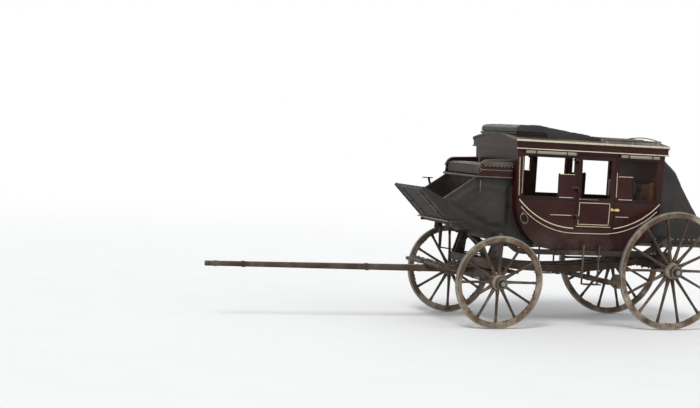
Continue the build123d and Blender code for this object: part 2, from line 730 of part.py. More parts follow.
# Wheels, made once for each size round the local Z axis with the rim on local Z = 0
wheel_pieces = {}
arm_pieces = {}
for name, size in (("front", front_size), ("rear", rear_size)):
    dish = size.radius * tan(cant)
    felloe_radius = size.radius - tyre_thickness
    felloe_bore = felloe_radius - felloe_depth
    inner_end = -dish - size.nave_in
    outer_end = -dish + size.nave_out
    with BuildPart() as tyre:
        with BuildSketch(Plane.XY.offset(-tyre_width / 2)):
            Circle(size.radius)
            Circle(felloe_radius, mode=Mode.SUBTRACT)
        extrude(amount=tyre_width)
    with BuildPart() as felloes:
        with BuildSketch(Plane.XY.offset(-felloe_width / 2)):
            Circle(felloe_radius)
            Circle(felloe_bore, mode=Mode.SUBTRACT)
        extrude(amount=felloe_width)
        bore_edges = felloes.edges().filter_by(GeomType.CIRCLE).group_by(SortBy.RADIUS)[0]
        chamfer(bore_edges, 6)
    with BuildPart() as spoke:
        root = Plane(origin=(size.nave_radius - 30, 0, -dish * (1 - (size.nave_radius - 30) / size.radius)),
                     x_dir=(0, 1, 0), z_dir=(size.radius, 0, dish))
        tip = Plane(origin=(felloe_bore + 20, 0, -dish * (1 - (felloe_bore + 20) / size.radius)),
                    x_dir=(0, 1, 0), z_dir=(size.radius, 0, dish))
        for plane, across, along in ((root, 30, 56), (tip, 30, 36)):
            with BuildSketch(plane) as section:
                Rectangle(across, along)
                chamfer(section.vertices(), 8)
        loft()
    with BuildPart() as nave:
        with BuildSketch(Plane.XZ):
            with BuildLine():
                Polyline((0, inner_end), (size.band_radius, inner_end),
                         (size.band_radius, inner_end + nave_band),
                         (size.band_radius - 6, inner_end + nave_band))
                ThreePointArc((size.band_radius - 6, inner_end + nave_band),
                              (size.nave_radius - 4, -dish - 62), (size.nave_radius, -dish - 36))
                Line((size.nave_radius, -dish - 36), (size.nave_radius, -dish + 36))
                ThreePointArc((size.nave_radius, -dish + 36), (size.nave_radius - 5, -dish + 64),
                              (size.band_radius - 10, outer_end - nave_band))
                Polyline((size.band_radius - 10, outer_end - nave_band),
                         (size.band_radius - 4, outer_end - nave_band),
                         (size.band_radius - 4, outer_end), (size.cap_radius, outer_end),
                         (size.cap_radius, outer_end + nave_cap_length - 8),
                         (size.cap_radius - 8, outer_end + nave_cap_length),
                         (0, outer_end + nave_cap_length), (0, inner_end))
            make_face()
        revolve(axis=Axis.Z)
        with PolarLocations(0, size.spokes):
            add(spoke.part)
        with BuildSketch(Plane.XY.offset(-100)):
            Circle(size.radius + 60)
            Circle(felloe_bore, mode=Mode.SUBTRACT)
        extrude(amount=200, mode=Mode.SUBTRACT)
        with BuildSketch(Plane.XY.offset(inner_end)):
            Circle(size.arm_radius + running_gap)
        extrude(amount=size.nave_in + size.nave_out + 10, mode=Mode.SUBTRACT)
    wheel_pieces[name] = {"tyre": tyre.part, "felloes": felloes.part, "nave": nave.part}
    with BuildPart() as arm:
        with BuildSketch(Plane.XY.offset(inner_end - collar_gap - 10)):
            Circle(size.arm_radius)
        extrude(amount=collar_gap + 10 + size.nave_in + size.nave_out)
        with BuildSketch(Plane.XY.offset(inner_end - collar_gap - 16)):
            Circle(size.arm_radius + 22)
        extrude(amount=16)
    arm_pieces[name] = arm.part

# Axles and the timber beds on them
front_bar = 48.0
rear_bar = 54.0
front_hub_z = front_size.radius / cos(cant) + tyre_width / 2 * sin(cant)
rear_hub_z = rear_size.radius / cos(cant) + tyre_width / 2 * sin(cant)
front_shoulder = track / 2 - (front_size.nave_in + 8) * cos(cant)
rear_shoulder = track / 2 - (rear_size.nave_in + 8) * cos(cant)
front_bar_z = front_hub_z + front_size.nave_in * sin(cant)
rear_bar_z = rear_hub_z + rear_size.nave_in * sin(cant)
kingpin_radius = 14.0

with BuildPart() as front_axle:
    with BuildSketch(Plane.XY.offset(front_bar_z - front_bar / 2)):
        with Locations((front_axle_x, 0)):
            Rectangle(front_bar, 2 * front_shoulder)
            Circle(36)
            Circle(kingpin_radius + running_gap, mode=Mode.SUBTRACT)
    extrude(amount=front_bar)
    for side in (-1, 1):
        add(wheel_location(front_size, front_axle_x, side) * arm_pieces["front"])

with BuildPart() as rear_axle:
    with BuildSketch(Plane.XY.offset(rear_bar_z - rear_bar / 2)):
        with Locations((rear_axle_x, 0)):
            Rectangle(rear_bar, 2 * rear_shoulder)
    extrude(amount=rear_bar)
    for side in (-1, 1):
        add(wheel_location(rear_size, rear_axle_x, side) * arm_pieces["rear"])

# Heights of the front gear, stacked on the axle
front_bed_z = front_bar_z + front_bar / 2
futchell_z = front_bed_z + 24
futchell_depth = 60.0
plate_z = futchell_z + futchell_depth
plate_thickness = 12.0
upper_plate_z = plate_z + plate_thickness + running_gap
bolster_z = upper_plate_z + plate_thickness
bolster_height = 105.0
ring_outer = 215.0
ring_inner = 160.0
bed_width = 104.0
bed_half = 610.0
pole_half = 47.5
pole_depth = 80.0
futchell_width = 60.0
futchell_front = 660.0
futchell_rear = -440.0
futchell_splay = 165.0
futchell_step = 12.0

with BuildPart() as futchells:
    with BuildSketch(Plane.XY.offset(futchell_z)):
        for side in (-1, 1):
            with BuildLine():
                Polyline(*[(front_axle_x + x, side * y) for x, y in (
                    (futchell_front, pole_half), (110, pole_half),
                    (futchell_rear, pole_half + futchell_splay),
                    (futchell_rear, pole_half + futchell_splay + futchell_width),
                    (130, pole_half + futchell_width), (futchell_front, pole_half + futchell_width))],
                         close=True)
            make_face()
    extrude(amount=futchell_depth)
    with BuildSketch(Plane.XY.offset(futchell_z + 14)):
        with Locations((front_axle_x + futchell_rear + 32, 0)):
            Rectangle(60, 900)
    extrude(amount=futchell_depth - 28)
    with BuildSketch(Plane.XY.offset(futchell_z + futchell_depth - futchell_step)):
        with Locations((front_axle_x + futchell_rear / 2 - ring_outer - 10, 0)):
            Rectangle(-futchell_rear, 1000)
    extrude(amount=futchell_step, mode=Mode.SUBTRACT)

with BuildPart() as front_bed:
    with BuildSketch(Plane.XY.offset(front_bed_z)):
        with Locations((front_axle_x, 0)):
            Rectangle(bed_width, 2 * bed_half)
            Circle(kingpin_radius + running_gap, mode=Mode.SUBTRACT)
    extrude(amount=plate_z - front_bed_z)
    add(futchells.part, mode=Mode.SUBTRACT)

with BuildPart() as turning_plate:
    with BuildSketch(Plane.XY.offset(plate_z)):
        with Locations((front_axle_x, 0)):
            Circle(ring_outer)
            Circle(ring_inner, mode=Mode.SUBTRACT)
            Rectangle(70, 2 * ring_inner + 20)
            Circle(kingpin_radius + running_gap, mode=Mode.SUBTRACT)
    extrude(amount=plate_thickness)

with BuildPart() as kingpin_plate:
    with BuildSketch(Plane.XY.offset(upper_plate_z)):
        with Locations((front_axle_x, 0)):
            Circle(ring_outer)
            Circle(ring_inner, mode=Mode.SUBTRACT)
            Rectangle(70, 2 * ring_inner + 20)
    extrude(amount=plate_thickness)
    with BuildSketch(Plane.XY.offset(front_bar_z - front_bar / 2 - 30)):
        with Locations((front_axle_x, 0)):
            Circle(kingpin_radius)
    extrude(amount=bolster_z + bolster_height - front_bar_z + front_bar / 2 + 30)
    with BuildSketch(Plane.XY.offset(bolster_z + bolster_height)):
        with Locations((front_axle_x, 0)):
            Circle(26)
    extrude(amount=16)

with BuildPart() as front_bolster:
    with BuildSketch(Plane.XY.offset(bolster_z)):
        with Locations((front_axle_x - 10, 0)):
            Rectangle(bed_width + 40, 2 * (strap_y + 72))
        with Locations((front_axle_x, 0)):
            Circle(kingpin_radius, mode=Mode.SUBTRACT)
    extrude(amount=bolster_height)

# Splinter bar across the futchells, with two swinging trees, and the pole between the futchells
splinter_x = front_axle_x + futchell_front - 50
splinter_width = 74.0
splinter_height = 62.0
splinter_half = 620.0
splinter_z = futchell_z + futchell_depth
tree_y = 320.0
tree_half = 290.0
tree_radius = 22.0
tree_x = splinter_x + splinter_width / 2 + 48
tree_z = splinter_z + splinter_height / 2
with BuildPart() as splinter_bar:
    with BuildSketch(Plane.XY.offset(splinter_z)):
        with Locations((splinter_x, 0)):
            RectangleRounded(splinter_width, 2 * splinter_half, 20)
    extrude(amount=splinter_height)

with BuildPart() as swingletrees:
    for side in (-1, 1):
        with BuildSketch(Plane.XZ.offset(-side * tree_y - tree_half)):
            with Locations((tree_x, tree_z)):
                Circle(tree_radius - 6)
        extrude(amount=2 * tree_half)
        with BuildSketch(Plane.XZ.offset(-side * tree_y - tree_half + 45)):
            with Locations((tree_x, tree_z)):
                Circle(tree_radius)
        extrude(amount=2 * tree_half - 90)
        with BuildSketch(Plane.XZ.offset(-side * tree_y - 17)):
            with Locations((tree_x - 30, tree_z)):
                Rectangle(37, 26)
        extrude(amount=34)
    add(splinter_bar.part, mode=Mode.SUBTRACT)

pole_z = futchell_z + futchell_depth - pole_depth / 2
pole_root_x = front_axle_x + 90
pole_end_radius = 32.0
pole_iron_length = 150.0
pole_square_x = front_axle_x + futchell_front + 250
with BuildPart() as pole:
    with BuildSketch(Plane.XY.offset(pole_z - pole_depth / 2)):
        with Locations(((pole_root_x + pole_square_x) / 2, 0)):
            Rectangle(pole_square_x - pole_root_x, 2 * pole_half)
    extrude(amount=pole_depth)
    with BuildSketch(Plane.YZ.offset(pole_square_x)):
        with Locations((0, pole_z)):
            RectangleRounded(2 * pole_half, pole_depth, 20)
    with BuildSketch(Plane.YZ.offset(pole_tip_x - pole_iron_length)):
        with Locations((0, pole_z)):
            RectangleRounded(2 * pole_end_radius - 1, 2 * pole_end_radius - 1, pole_end_radius - 1)
    loft()

with BuildPart() as pole_iron:
    with BuildSketch(Plane.YZ.offset(pole_tip_x - pole_iron_length)):
        with Locations((0, pole_z)):
            Circle(pole_end_radius + 4)
    extrude(amount=40)
    with BuildSketch(Plane.YZ.offset(pole_tip_x - pole_iron_length + 40)):
        with Locations((0, pole_z)):
            Circle(pole_end_radius)
    extrude(amount=pole_iron_length - 40)

# Stays from the front axle to the ends of the splinter bar
stay_radius = 9.0
with BuildPart() as splinter_stays:
    for side in (-1, 1):
        low = (front_axle_x, side * (bed_half - 25), front_bar_z - front_bar / 2 - stay_radius)
        high = (splinter_x, side * (bed_half - 25), splinter_z - stay_radius)
        with BuildLine() as stay_line:
            FilletPolyline((low[0] - 20, low[1], low[2]), (low[0] + 60, low[1], low[2]),
                           (high[0] - 90, high[1], high[2]), (high[0] + 20, high[1], high[2]), radius=40)
        with BuildSketch(stay_line.line ^ 0):
            Circle(stay_radius)
        sweep(path=stay_line.line)

# Three bowed perches between the rear bed and the front bolster
perch_width = 62.0
perch_depth = 84.0
perch_y = 270.0
rear_bed_z = rear_bar_z + rear_bar / 2
rear_bed_height = 120.0
rear_bed_half = 620.0
perch_rear = (rear_axle_x + bed_width / 2, rear_bed_z + 60)
perch_mid = ((rear_axle_x + front_axle_x) / 2 - 70, 725.0)
perch_front = (front_axle_x - 10 - (bed_width + 40) / 2, bolster_z + bolster_height - perch_depth / 2)
with BuildPart() as rear_bed:
    with BuildSketch(Plane.XY.offset(rear_bed_z)):
        with Locations((rear_axle_x, 0)):
            Rectangle(bed_width, 2 * rear_bed_half)
    extrude(amount=rear_bed_height)

with BuildPart() as perches:
    for perch in (-perch_y, 0, perch_y):
        with BuildSketch(Plane.XZ.offset(-perch - perch_width / 2)):
            with BuildLine():
                for lift in (-perch_depth / 2, perch_depth / 2):
                    ThreePointArc((perch_rear[0], perch_rear[1] + lift),
                                  (perch_mid[0], perch_mid[1] + lift),
                                  (perch_front[0], perch_front[1] + lift))
                for end in (perch_rear, perch_front):
                    Line((end[0], end[1] - perch_depth / 2), (end[0], end[1] + perch_depth / 2))
            make_face()
        extrude(amount=perch_width)

# Standards that hold the straps: two cheeks and a pin on each side, front and rear
with BuildPart() as front_standards:
    for cheek_y in (strap_y - strap_width / 2 - cheek_gap - cheek_thickness,
                    strap_y + strap_width / 2 + cheek_gap):
        with BuildSketch(Plane.XZ.offset(-cheek_y - cheek_thickness)):
            with BuildLine():
                Polyline((front_axle_x - 82, bolster_z + bolster_height),
                         (front_axle_x + 62, bolster_z + bolster_height),
                         (front_pin_x + 36, front_pin_z), (front_pin_x - 37, front_pin_z), close=True)
            make_face()
            with Locations((front_pin_x, front_pin_z)):
                Circle(38)
        extrude(amount=cheek_thickness)
    with BuildSketch(Plane.XZ.offset(-strap_y - strap_width / 2 - cheek_gap - cheek_thickness - pin_overhang)):
        with Locations((front_pin_x, front_pin_z)):
            Circle(strap_pin_radius)
    extrude(amount=strap_width + 2 * cheek_gap + 2 * cheek_thickness + 2 * pin_overhang)
    mirror(about=Plane.XZ)
    add(front_bolster.part, mode=Mode.SUBTRACT)

with BuildPart() as rear_standards:
    for cheek_y in (strap_y - strap_width / 2 - cheek_gap - cheek_thickness,
                    strap_y + strap_width / 2 + cheek_gap):
        with BuildSketch(Plane.XZ.offset(-cheek_y - cheek_thickness)):
            with BuildLine():
                Polyline((rear_axle_x - 50, rear_bed_z + rear_bed_height),
                         (rear_axle_x + 50, rear_bed_z + rear_bed_height),
                         (rear_axle_x + 112, rear_bed_z + rear_bed_height + 110),
                         (rear_axle_x + 96, rear_bed_z + rear_bed_height + 180),
                         (rear_pin_x + 10, rear_pin_z + 40), (rear_pin_x - 40, rear_pin_z + 8),
                         (rear_axle_x - 112, rear_bed_z + rear_bed_height + 110), close=True)
            make_face()
            with BuildLine():
                Polyline((rear_axle_x - 40, rear_bed_z + rear_bed_height + 60),
                         (rear_axle_x + 40, rear_bed_z + rear_bed_height + 60),
                         (rear_axle_x + 70, rear_bed_z + rear_bed_height + 112),
                         (rear_axle_x, rear_bed_z + rear_bed_height + 140),
                         (rear_axle_x - 78, rear_bed_z + rear_bed_height + 112), close=True)
            make_face(mode=Mode.SUBTRACT)
            with Locations((rear_pin_x, rear_pin_z)):
                Circle(38)
        extrude(amount=cheek_thickness)
    with BuildSketch(Plane.XZ.offset(-strap_y - strap_width / 2 - cheek_gap - cheek_thickness - pin_overhang)):
        with Locations((rear_pin_x, rear_pin_z)):
            Circle(strap_pin_radius)
    extrude(amount=strap_width + 2 * cheek_gap + 2 * cheek_thickness + 2 * pin_overhang)
    mirror(about=Plane.XZ)

# Brake: a beam hung under the perches with a block before each rear wheel, rod and treadle
block_face_x = rear_axle_x + rear_size.radius + 13.5
brake_x = block_face_x + 127
brake_z = 612.0
beam_width = 62.0
block_y = rim_centre(rear_size)[1] - 5.53
beam_half = block_y + 26
with BuildPart() as brake_beam:
    with BuildSketch(Plane.XY.offset(brake_z - 30)):
        with Locations((brake_x, 0)):
            Rectangle(beam_width, 2 * beam_half)
    extrude(amount=60)
    for hanger_y in (-perch_y, perch_y):
        with BuildSketch(Plane.XY.offset(brake_z)):
            with Locations((brake_x, hanger_y)):
                Rectangle(34, 34)
        extrude(amount=120)
    add(perches.part, mode=Mode.SUBTRACT)
    split(bisect_by=Plane.XY.offset(perch_mid[1]), keep=Keep.BOTTOM)

with BuildPart() as brake_blocks:
    for side in (-1, 1):
        with BuildSketch(Plane.XZ.offset(-side * block_y - 34)):
            with BuildLine():
                ThreePointArc((block_face_x - 14, brake_z - 76), (block_face_x, brake_z + 14),
                              (block_face_x + 2, brake_z + 104))
                Polyline((block_face_x + 2, brake_z + 104), (block_face_x + 56, brake_z + 104),
                         (brake_x - beam_width / 2, brake_z + 30),
                         (brake_x - beam_width / 2, brake_z - 30),
                         (block_face_x + 40, brake_z - 76), (block_face_x - 14, brake_z - 76))
            make_face()
        extrude(amount=68)

# Treadle lever on the right of the boot, its shaft under the boot floor, and the long rod
lever_y = -(boot_half + 34)
lever_x = front_axle_x + 332
lever_pivot_z = 1168.0
shaft_radius = 15.0
rod_radius = 9.0
rod_y = -perch_y - 100
rod_front_z = bolster_z + bolster_height + 71.5
rod_rear_z = brake_z + 30 + rod_radius
with BuildPart() as brake_lever:
    with BuildSketch(Plane.XZ.offset(-lever_y - 8)):
        with BuildLine():
            Polyline((lever_x - 22, lever_pivot_z), (lever_x + 22, lever_pivot_z),
                     (lever_x + 20, lever_pivot_z + 160), (lever_x + 160, lever_pivot_z + 640),
                     (lever_x + 136, lever_pivot_z + 648), (lever_x - 16, lever_pivot_z + 170),
                     close=True)
        make_face()
        with Locations((lever_x, lever_pivot_z)):
            Circle(28)
    extrude(amount=16)
    with BuildSketch(Plane.XY.offset(lever_pivot_z + 632)):
        with Locations((lever_x + 158, lever_y)):
            RectangleRounded(130, 80, 14)
    extrude(amount=12)
    with BuildSketch(Plane.XZ.offset(-lever_y + 8)):
        with Locations((lever_x, lever_pivot_z)):
            Circle(shaft_radius)
    extrude(amount=lever_y - rod_y - 20)
    with BuildSketch(Plane.XZ.offset(-rod_y - 8)):
        with BuildLine():
            Polyline((lever_x - 24, lever_pivot_z), (lever_x + 24, lever_pivot_z),
                     (lever_x + 16, rod_front_z - 16), (lever_x - 16, rod_front_z - 16), close=True)
        make_face()
        with Locations((lever_x, lever_pivot_z)):
            Circle(28)
    extrude(amount=16)

    rod_front = Vector(lever_x - 4, rod_y, rod_front_z)
    rod_rear = Vector(brake_x, rod_y, rod_rear_z)
    with BuildSketch(Plane(origin=rod_rear, z_dir=rod_front - rod_rear)):
        Circle(rod_radius)
    extrude(amount=(rod_front - rod_rear).length)
    add(brake_beam.part, mode=Mode.SUBTRACT)

with BuildPart() as boot_bottom_board:
    add(boot_floor.part)
    for bracket_y in (38 - boot_half, 88 - boot_half):
        with BuildSketch(Plane.XZ.offset(-bracket_y - 12)):
            with Locations((lever_x, lever_pivot_z + 20)):
                Rectangle(70, 96)
        extrude(amount=24)
    add(brake_lever.part, mode=Mode.SUBTRACT)

# Iron steps: a hanging one below each door and one beside the boot for the driver
step_z = 560.0
step_half = 112.0
step_plate = (120.0, 12.0)
step_out = half_width_belt - 25.0
step_bar = 18.0
with BuildPart() as left_door_step:
    with BuildSketch(Plane.XY.offset(step_z)):
        with Locations((door_mid_x, step_out + step_plate[0] / 2 - step_bar)):
            RectangleRounded(2 * step_half + step_bar + 8, step_plate[0], 12)
    extrude(amount=step_plate[1])
    for step_x in (door_mid_x - step_half, door_mid_x + step_half):
        with BuildSketch(Plane.XY.offset(step_z)):
            with Locations((step_x, step_out - step_bar / 2)):
                Rectangle(step_bar, step_bar)
        extrude(amount=sill_z + 70 - step_z)
        with BuildSketch(Plane.XY.offset(sill_z + 40)):
            with Locations((step_x, step_out - 40)):
                Rectangle(step_bar, 80)
        extrude(amount=30)
    add(cabin_envelope.part, mode=Mode.SUBTRACT)

boot_step_x = front_axle_x + 570
with BuildPart() as left_steps:
    add(left_door_step.part)
    with BuildSketch(Plane.XY.offset(boot_heel[1] + 40)):
        with Locations((boot_step_x - 60, boot_half + 50)):
            RectangleRounded(150, 100, 10)
    extrude(amount=12)
    with BuildSketch(Plane.XY.offset(boot_heel[1] - 4)):
        with Locations((boot_step_x - 60, boot_half + 10)):
            Rectangle(110, 20)
    extrude(amount=50)
    add(boot_cheeks.part, mode=Mode.SUBTRACT)
    add(footboard.part, mode=Mode.SUBTRACT)

# Pieces that are the same on both sides
def right_of(left):
    return mirror(left, about=Plane.XZ)


single_pieces = {
    "front_wall": end_walls["front_wall"], "rear_wall": end_walls["rear_wall"],
    "floor": floor.part, "roof": roof.part, "cornice": cornice.part,
    "bench_frames": bench_frames.part, "bench_cushions": bench_backs.part,
    "footboard": footboard.part, "boot_cheeks": boot_cheeks.part,
    "boot_floor": boot_bottom_board.part,
    "driver_seat": driver_seat.part, "driver_cushion": driver_cushion.part,
    "deck_seat": deck_seat.part, "deck_cushion": deck_cushion.part,
    "roof_rails": roof_rails.part, "rear_boot_deck": rear_boot_deck.part,
    "rear_boot_cover": rear_boot_cover.part, "front_axle": front_axle.part,
    "rear_axle": rear_axle.part, "front_bed": front_bed.part, "rear_bed": rear_bed.part,
    "futchells": futchells.part, "turning_plate": turning_plate.part,
    "kingpin_plate": kingpin_plate.part,
    "front_bolster": front_bolster.part, "splinter_bar": splinter_bar.part,
    "swingletrees": swingletrees.part, "splinter_stays": splinter_stays.part,
    "pole": pole.part, "pole_iron": pole_iron.part, "perches": perches.part,
    "front_standards": front_standards.part, "rear_standards": rear_standards.part,
    "brake_beam": brake_beam.part, "brake_blocks": brake_blocks.part,
    "brake_lever": brake_lever.part,
}
handed_pieces = {
    "side_panel": left_side_panel.part, "door": left_door.part,
    "door_handle": left_door_handle.part,
}
paired_pieces = {
    "door_hinges": left_hinge_pins.part, "side_mouldings": left_mouldings.part,
    "curtain_rolls": left_curtain_rolls.part, "thoroughbraces": left_thoroughbrace.part,
    "steps": left_steps.part,
}

nodes = dict(single_pieces)
for name, left in handed_pieces.items():
    nodes["left_" + name] = left
    nodes["right_" + name] = right_of(left)
for name, left in paired_pieces.items():
    nodes[name] = Compound(children=[*left.solids(), *right_of(left).solids()])
for corner, size_name, axle_x, side in (("front_left", "front", front_axle_x, 1),
                                        ("front_right", "front", front_axle_x, -1),
                                        ("rear_left", "rear", rear_axle_x, 1),
                                        ("rear_right", "rear", rear_axle_x, -1)):
    size = {"front": front_size, "rear": rear_size}[size_name]
    for piece, solid in wheel_pieces[size_name].items():
        nodes[f"{corner}_{piece}"] = wheel_location(size, axle_x, side) * solid

for name, solid in nodes.items():
    solid.label = name
    export_step(solid, f"parts/{name}.step")
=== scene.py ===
import json
import math

import bmesh
import bpy
from mathutils import Matrix, Vector, noise
from mathutils.bvhtree import BVHTree


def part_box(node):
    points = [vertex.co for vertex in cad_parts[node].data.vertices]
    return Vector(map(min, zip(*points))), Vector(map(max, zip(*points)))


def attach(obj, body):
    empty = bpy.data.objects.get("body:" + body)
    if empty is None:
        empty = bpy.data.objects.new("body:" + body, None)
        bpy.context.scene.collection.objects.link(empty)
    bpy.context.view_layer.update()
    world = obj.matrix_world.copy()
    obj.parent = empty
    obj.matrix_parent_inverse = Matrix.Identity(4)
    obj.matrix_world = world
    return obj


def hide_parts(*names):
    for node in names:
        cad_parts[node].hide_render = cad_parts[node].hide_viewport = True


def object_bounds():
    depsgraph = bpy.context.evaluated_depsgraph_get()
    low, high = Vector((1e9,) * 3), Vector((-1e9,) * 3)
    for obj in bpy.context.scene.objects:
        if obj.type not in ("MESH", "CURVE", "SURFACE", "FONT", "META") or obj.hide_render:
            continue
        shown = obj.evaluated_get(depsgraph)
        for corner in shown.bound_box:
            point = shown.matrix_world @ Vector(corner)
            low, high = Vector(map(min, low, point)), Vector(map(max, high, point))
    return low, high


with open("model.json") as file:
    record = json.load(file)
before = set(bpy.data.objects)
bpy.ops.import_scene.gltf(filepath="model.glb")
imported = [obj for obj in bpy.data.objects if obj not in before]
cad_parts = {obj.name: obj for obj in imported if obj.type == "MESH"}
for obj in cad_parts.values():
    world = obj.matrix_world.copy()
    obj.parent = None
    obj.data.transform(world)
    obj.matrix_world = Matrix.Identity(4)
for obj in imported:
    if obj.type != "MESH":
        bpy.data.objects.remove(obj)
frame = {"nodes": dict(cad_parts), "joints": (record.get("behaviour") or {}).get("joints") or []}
cad_low, cad_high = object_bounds()
nodes = frame["nodes"]
scene = bpy.context.scene

# The camera stands where the picture was taken from, off the coach's left front.
# It was found by fitting a pinhole camera to the outlines of the four wheels.

look_right = Vector((-0.947923, 0.313975, 0.053489))
look_up = Vector((0.034946, -0.064396, 0.997312))
look_forward = Vector((-0.316576, -0.947245, -0.050070))
camera_data = bpy.data.cameras.new("view_camera")
camera_data.sensor_width = 36.0
camera_data.lens = 71.53
camera_data.clip_end = 300.0
camera = bpy.data.objects.new("view_camera", camera_data)
turn = Matrix((look_right, look_up, -look_forward)).transposed()
camera.matrix_world = Matrix.Translation((7.082, 16.513, 2.319)) @ turn.to_4x4()
scene.collection.objects.link(camera)
scene.camera = camera
scene.view_settings.view_transform = "Standard"

# A pale floor that fades to white, a soft sky, one broad sun from the viewer's right and
# two weak ones that open the shadows. Mirrors and varnish see the white background.


class Shade:
    """One socket of a node tree. Sums on it add Math nodes."""

    def __init__(self, nodes, socket):
        self.nodes = nodes
        self.socket = socket

    def maths(self, operation, first, second=0.0):
        return self.nodes.make("ShaderNodeMath", {"operation": operation}, {0: first, 1: second})

    def __add__(self, other):
        return self.maths("ADD", self, other)

    def __radd__(self, other):
        return self.maths("ADD", other, self)

    def __sub__(self, other):
        return self.maths("SUBTRACT", self, other)

    def __rsub__(self, other):
        return self.maths("SUBTRACT", other, self)

    def __mul__(self, other):
        return self.maths("MULTIPLY", self, other)

    def __rmul__(self, other):
        return self.maths("MULTIPLY", other, self)

    def __truediv__(self, other):
        return self.maths("DIVIDE", self, other)

    def __lt__(self, other):
        return self.maths("LESS_THAN", self, other)

    def __abs__(self):
        return self.maths("ABSOLUTE", self)

    def from_zero(self):
        return self.maths("MAXIMUM", self)


class Nodes:
    """A tree of nodes for the sky, a finish or a shape."""

    def __init__(self, tree):
        self.tree = tree

    def make(self, kind, settings=None, sockets=None, output=0):
        node = self.tree.nodes.new(kind)
        for key, value in (settings or {}).items():
            setattr(node, key, value)
        for key, value in (sockets or {}).items():
            self.join(node.inputs[key], value)
        return Shade(self, node.outputs[output])

    def join(self, socket, value):
        if isinstance(value, Shade):
            self.tree.links.new(value.socket, socket)
        elif socket.type == "RGBA" and len(value) == 3:
            socket.default_value = (*value, 1.0)
        else:
            socket.default_value = value


class Coat(Nodes):
    """A finish of the coach, on one Principled BSDF."""

    def __init__(self, name):
        self.material = bpy.data.materials.new(name)
        self.material.use_nodes = True
        super().__init__(self.material.node_tree)
        self.skin = self.tree.nodes["Principled BSDF"]
        self.end = self.tree.nodes["Material Output"]

    def place(self, stretch=(1.0, 1.0, 1.0)):
        spot = self.make("ShaderNodeTexCoord", output="Object")
        return self.make("ShaderNodeMapping", {}, {"Vector": spot, "Scale": stretch})

    def cloud(self, scale, detail=4.0, stretch=(1.0, 1.0, 1.0), roughness=0.55):
        return self.make("ShaderNodeTexNoise", {}, {"Vector": self.place(stretch), "Scale": scale,
                                                    "Detail": detail, "Roughness": roughness})

    def cells(self, scale):
        return self.make("ShaderNodeTexVoronoi", {}, {"Vector": self.place(), "Scale": scale})

    def axis(self, letter):
        spot = self.make("ShaderNodeTexCoord", output="Object")
        return self.make("ShaderNodeSeparateXYZ", {}, {0: spot}, letter)

    def step(self, value, low, high):
        return self.make("ShaderNodeMapRange", {"interpolation_type": "SMOOTHSTEP"},
                         {0: value, 1: low, 2: high, 3: 0.0, 4: 1.0})

    def mix(self, share, first, second):
        return self.make("ShaderNodeMix", {"data_type": "RGBA"}, {0: share, 6: first, 7: second}, 2)

    def lay(self, colour, roughness=0.5, relief=None, depth=0.002, metal=0.0, coat=0.0, shine=0.5):
        self.join(self.skin.inputs["Base Color"], colour)
        self.join(self.skin.inputs["Roughness"], roughness)
        self.join(self.skin.inputs["Metallic"], metal)
        self.join(self.skin.inputs["Coat Weight"], coat)
        self.skin.inputs["Coat Roughness"].default_value = 0.15
        self.skin.inputs["Specular IOR Level"].default_value = shine
        if relief is not None:
            bump = self.make("ShaderNodeBump", {}, {"Height": relief, "Strength": 1.0, "Distance": depth})
            self.join(self.skin.inputs["Normal"], bump)
        return self.material


def studio_floor():
    coat = Coat("studio_floor")
    away = coat.make("ShaderNodeVectorMath", {"operation": "LENGTH"},
                     {0: coat.make("ShaderNodeTexCoord", output="Object")}, 1)
    grey = coat.mix(coat.cloud(1.3, 3.0), (0.80, 0.80, 0.79), (0.84, 0.835, 0.825))
    coat.lay(grey, 0.9)
    glow = coat.make("ShaderNodeEmission", {}, {0: (1.0, 1.0, 1.0), 1: 1.0})
    ray = coat.make("ShaderNodeLightPath", output="Is Camera Ray")
    far = coat.step(away, 9.0, 26.0) * ray
    blend = coat.make("ShaderNodeMixShader", {}, {0: far, 1: Shade(coat, coat.skin.outputs[0]), 2: glow})
    coat.join(coat.end.inputs["Surface"], blend)
    return coat.material


def studio():
    sheet = bpy.data.meshes.new("studio_floor")
    reach = 90.0
    sheet.from_pydata([(-reach, -reach, 0), (reach, -reach, 0), (reach, reach, 0), (-reach, reach, 0)],
                      [], [(0, 1, 2, 3)])
    floor_sheet = bpy.data.objects.new("studio_floor", sheet)
    floor_sheet.location = (0, 0, cad_low.z - 0.001)
    sheet.materials.append(studio_floor())
    scene.collection.objects.link(floor_sheet)
    world = bpy.data.worlds.new("studio_light")
    scene.world = world
    world.use_nodes = True
    sky = Nodes(world.node_tree)
    sky.tree.nodes.clear()
    direct = sky.make("ShaderNodeLightPath", output="Is Camera Ray")
    mirrored = sky.make("ShaderNodeLightPath", output="Is Glossy Ray")
    soft = sky.make("ShaderNodeBackground", {}, {0: (0.93, 0.96, 1.0), 1: 0.5})
    white = sky.make("ShaderNodeBackground", {}, {0: (1.0, 1.0, 1.0), 1: 1.0})
    seen = direct.maths("MAXIMUM", direct, mirrored)
    blend = sky.make("ShaderNodeMixShader", {}, {0: seen, 1: soft, 2: white})
    sky.join(sky.tree.nodes.new("ShaderNodeOutputWorld").inputs[0], blend)
    for name, strength, spread, direction in (
            ("key_light", 2.1, 22.0, (-0.45, -0.62, -0.85)),
            ("fill_light", 0.55, 60.0, (0.75, -0.55, -0.35)),
            ("rear_light", 0.45, 60.0, (0.2, 0.9, -0.6))):
        lamp_data = bpy.data.lights.new(name, "SUN")
        lamp_data.energy = strength
        lamp_data.angle = math.radians(spread)
        lamp = bpy.data.objects.new(name, lamp_data)
        lamp.rotation_mode = "QUATERNION"
        lamp.rotation_quaternion = Vector(direction).to_track_quat("-Z", "Y")
        scene.collection.objects.link(lamp)


studio()

# Wheels: an elm nave turned round, shaved hickory spokes, sawn felloes doweled end to end and an
# iron tyre shrunk on hot. They are dished, and droop on the axle so that the low spoke is plumb.

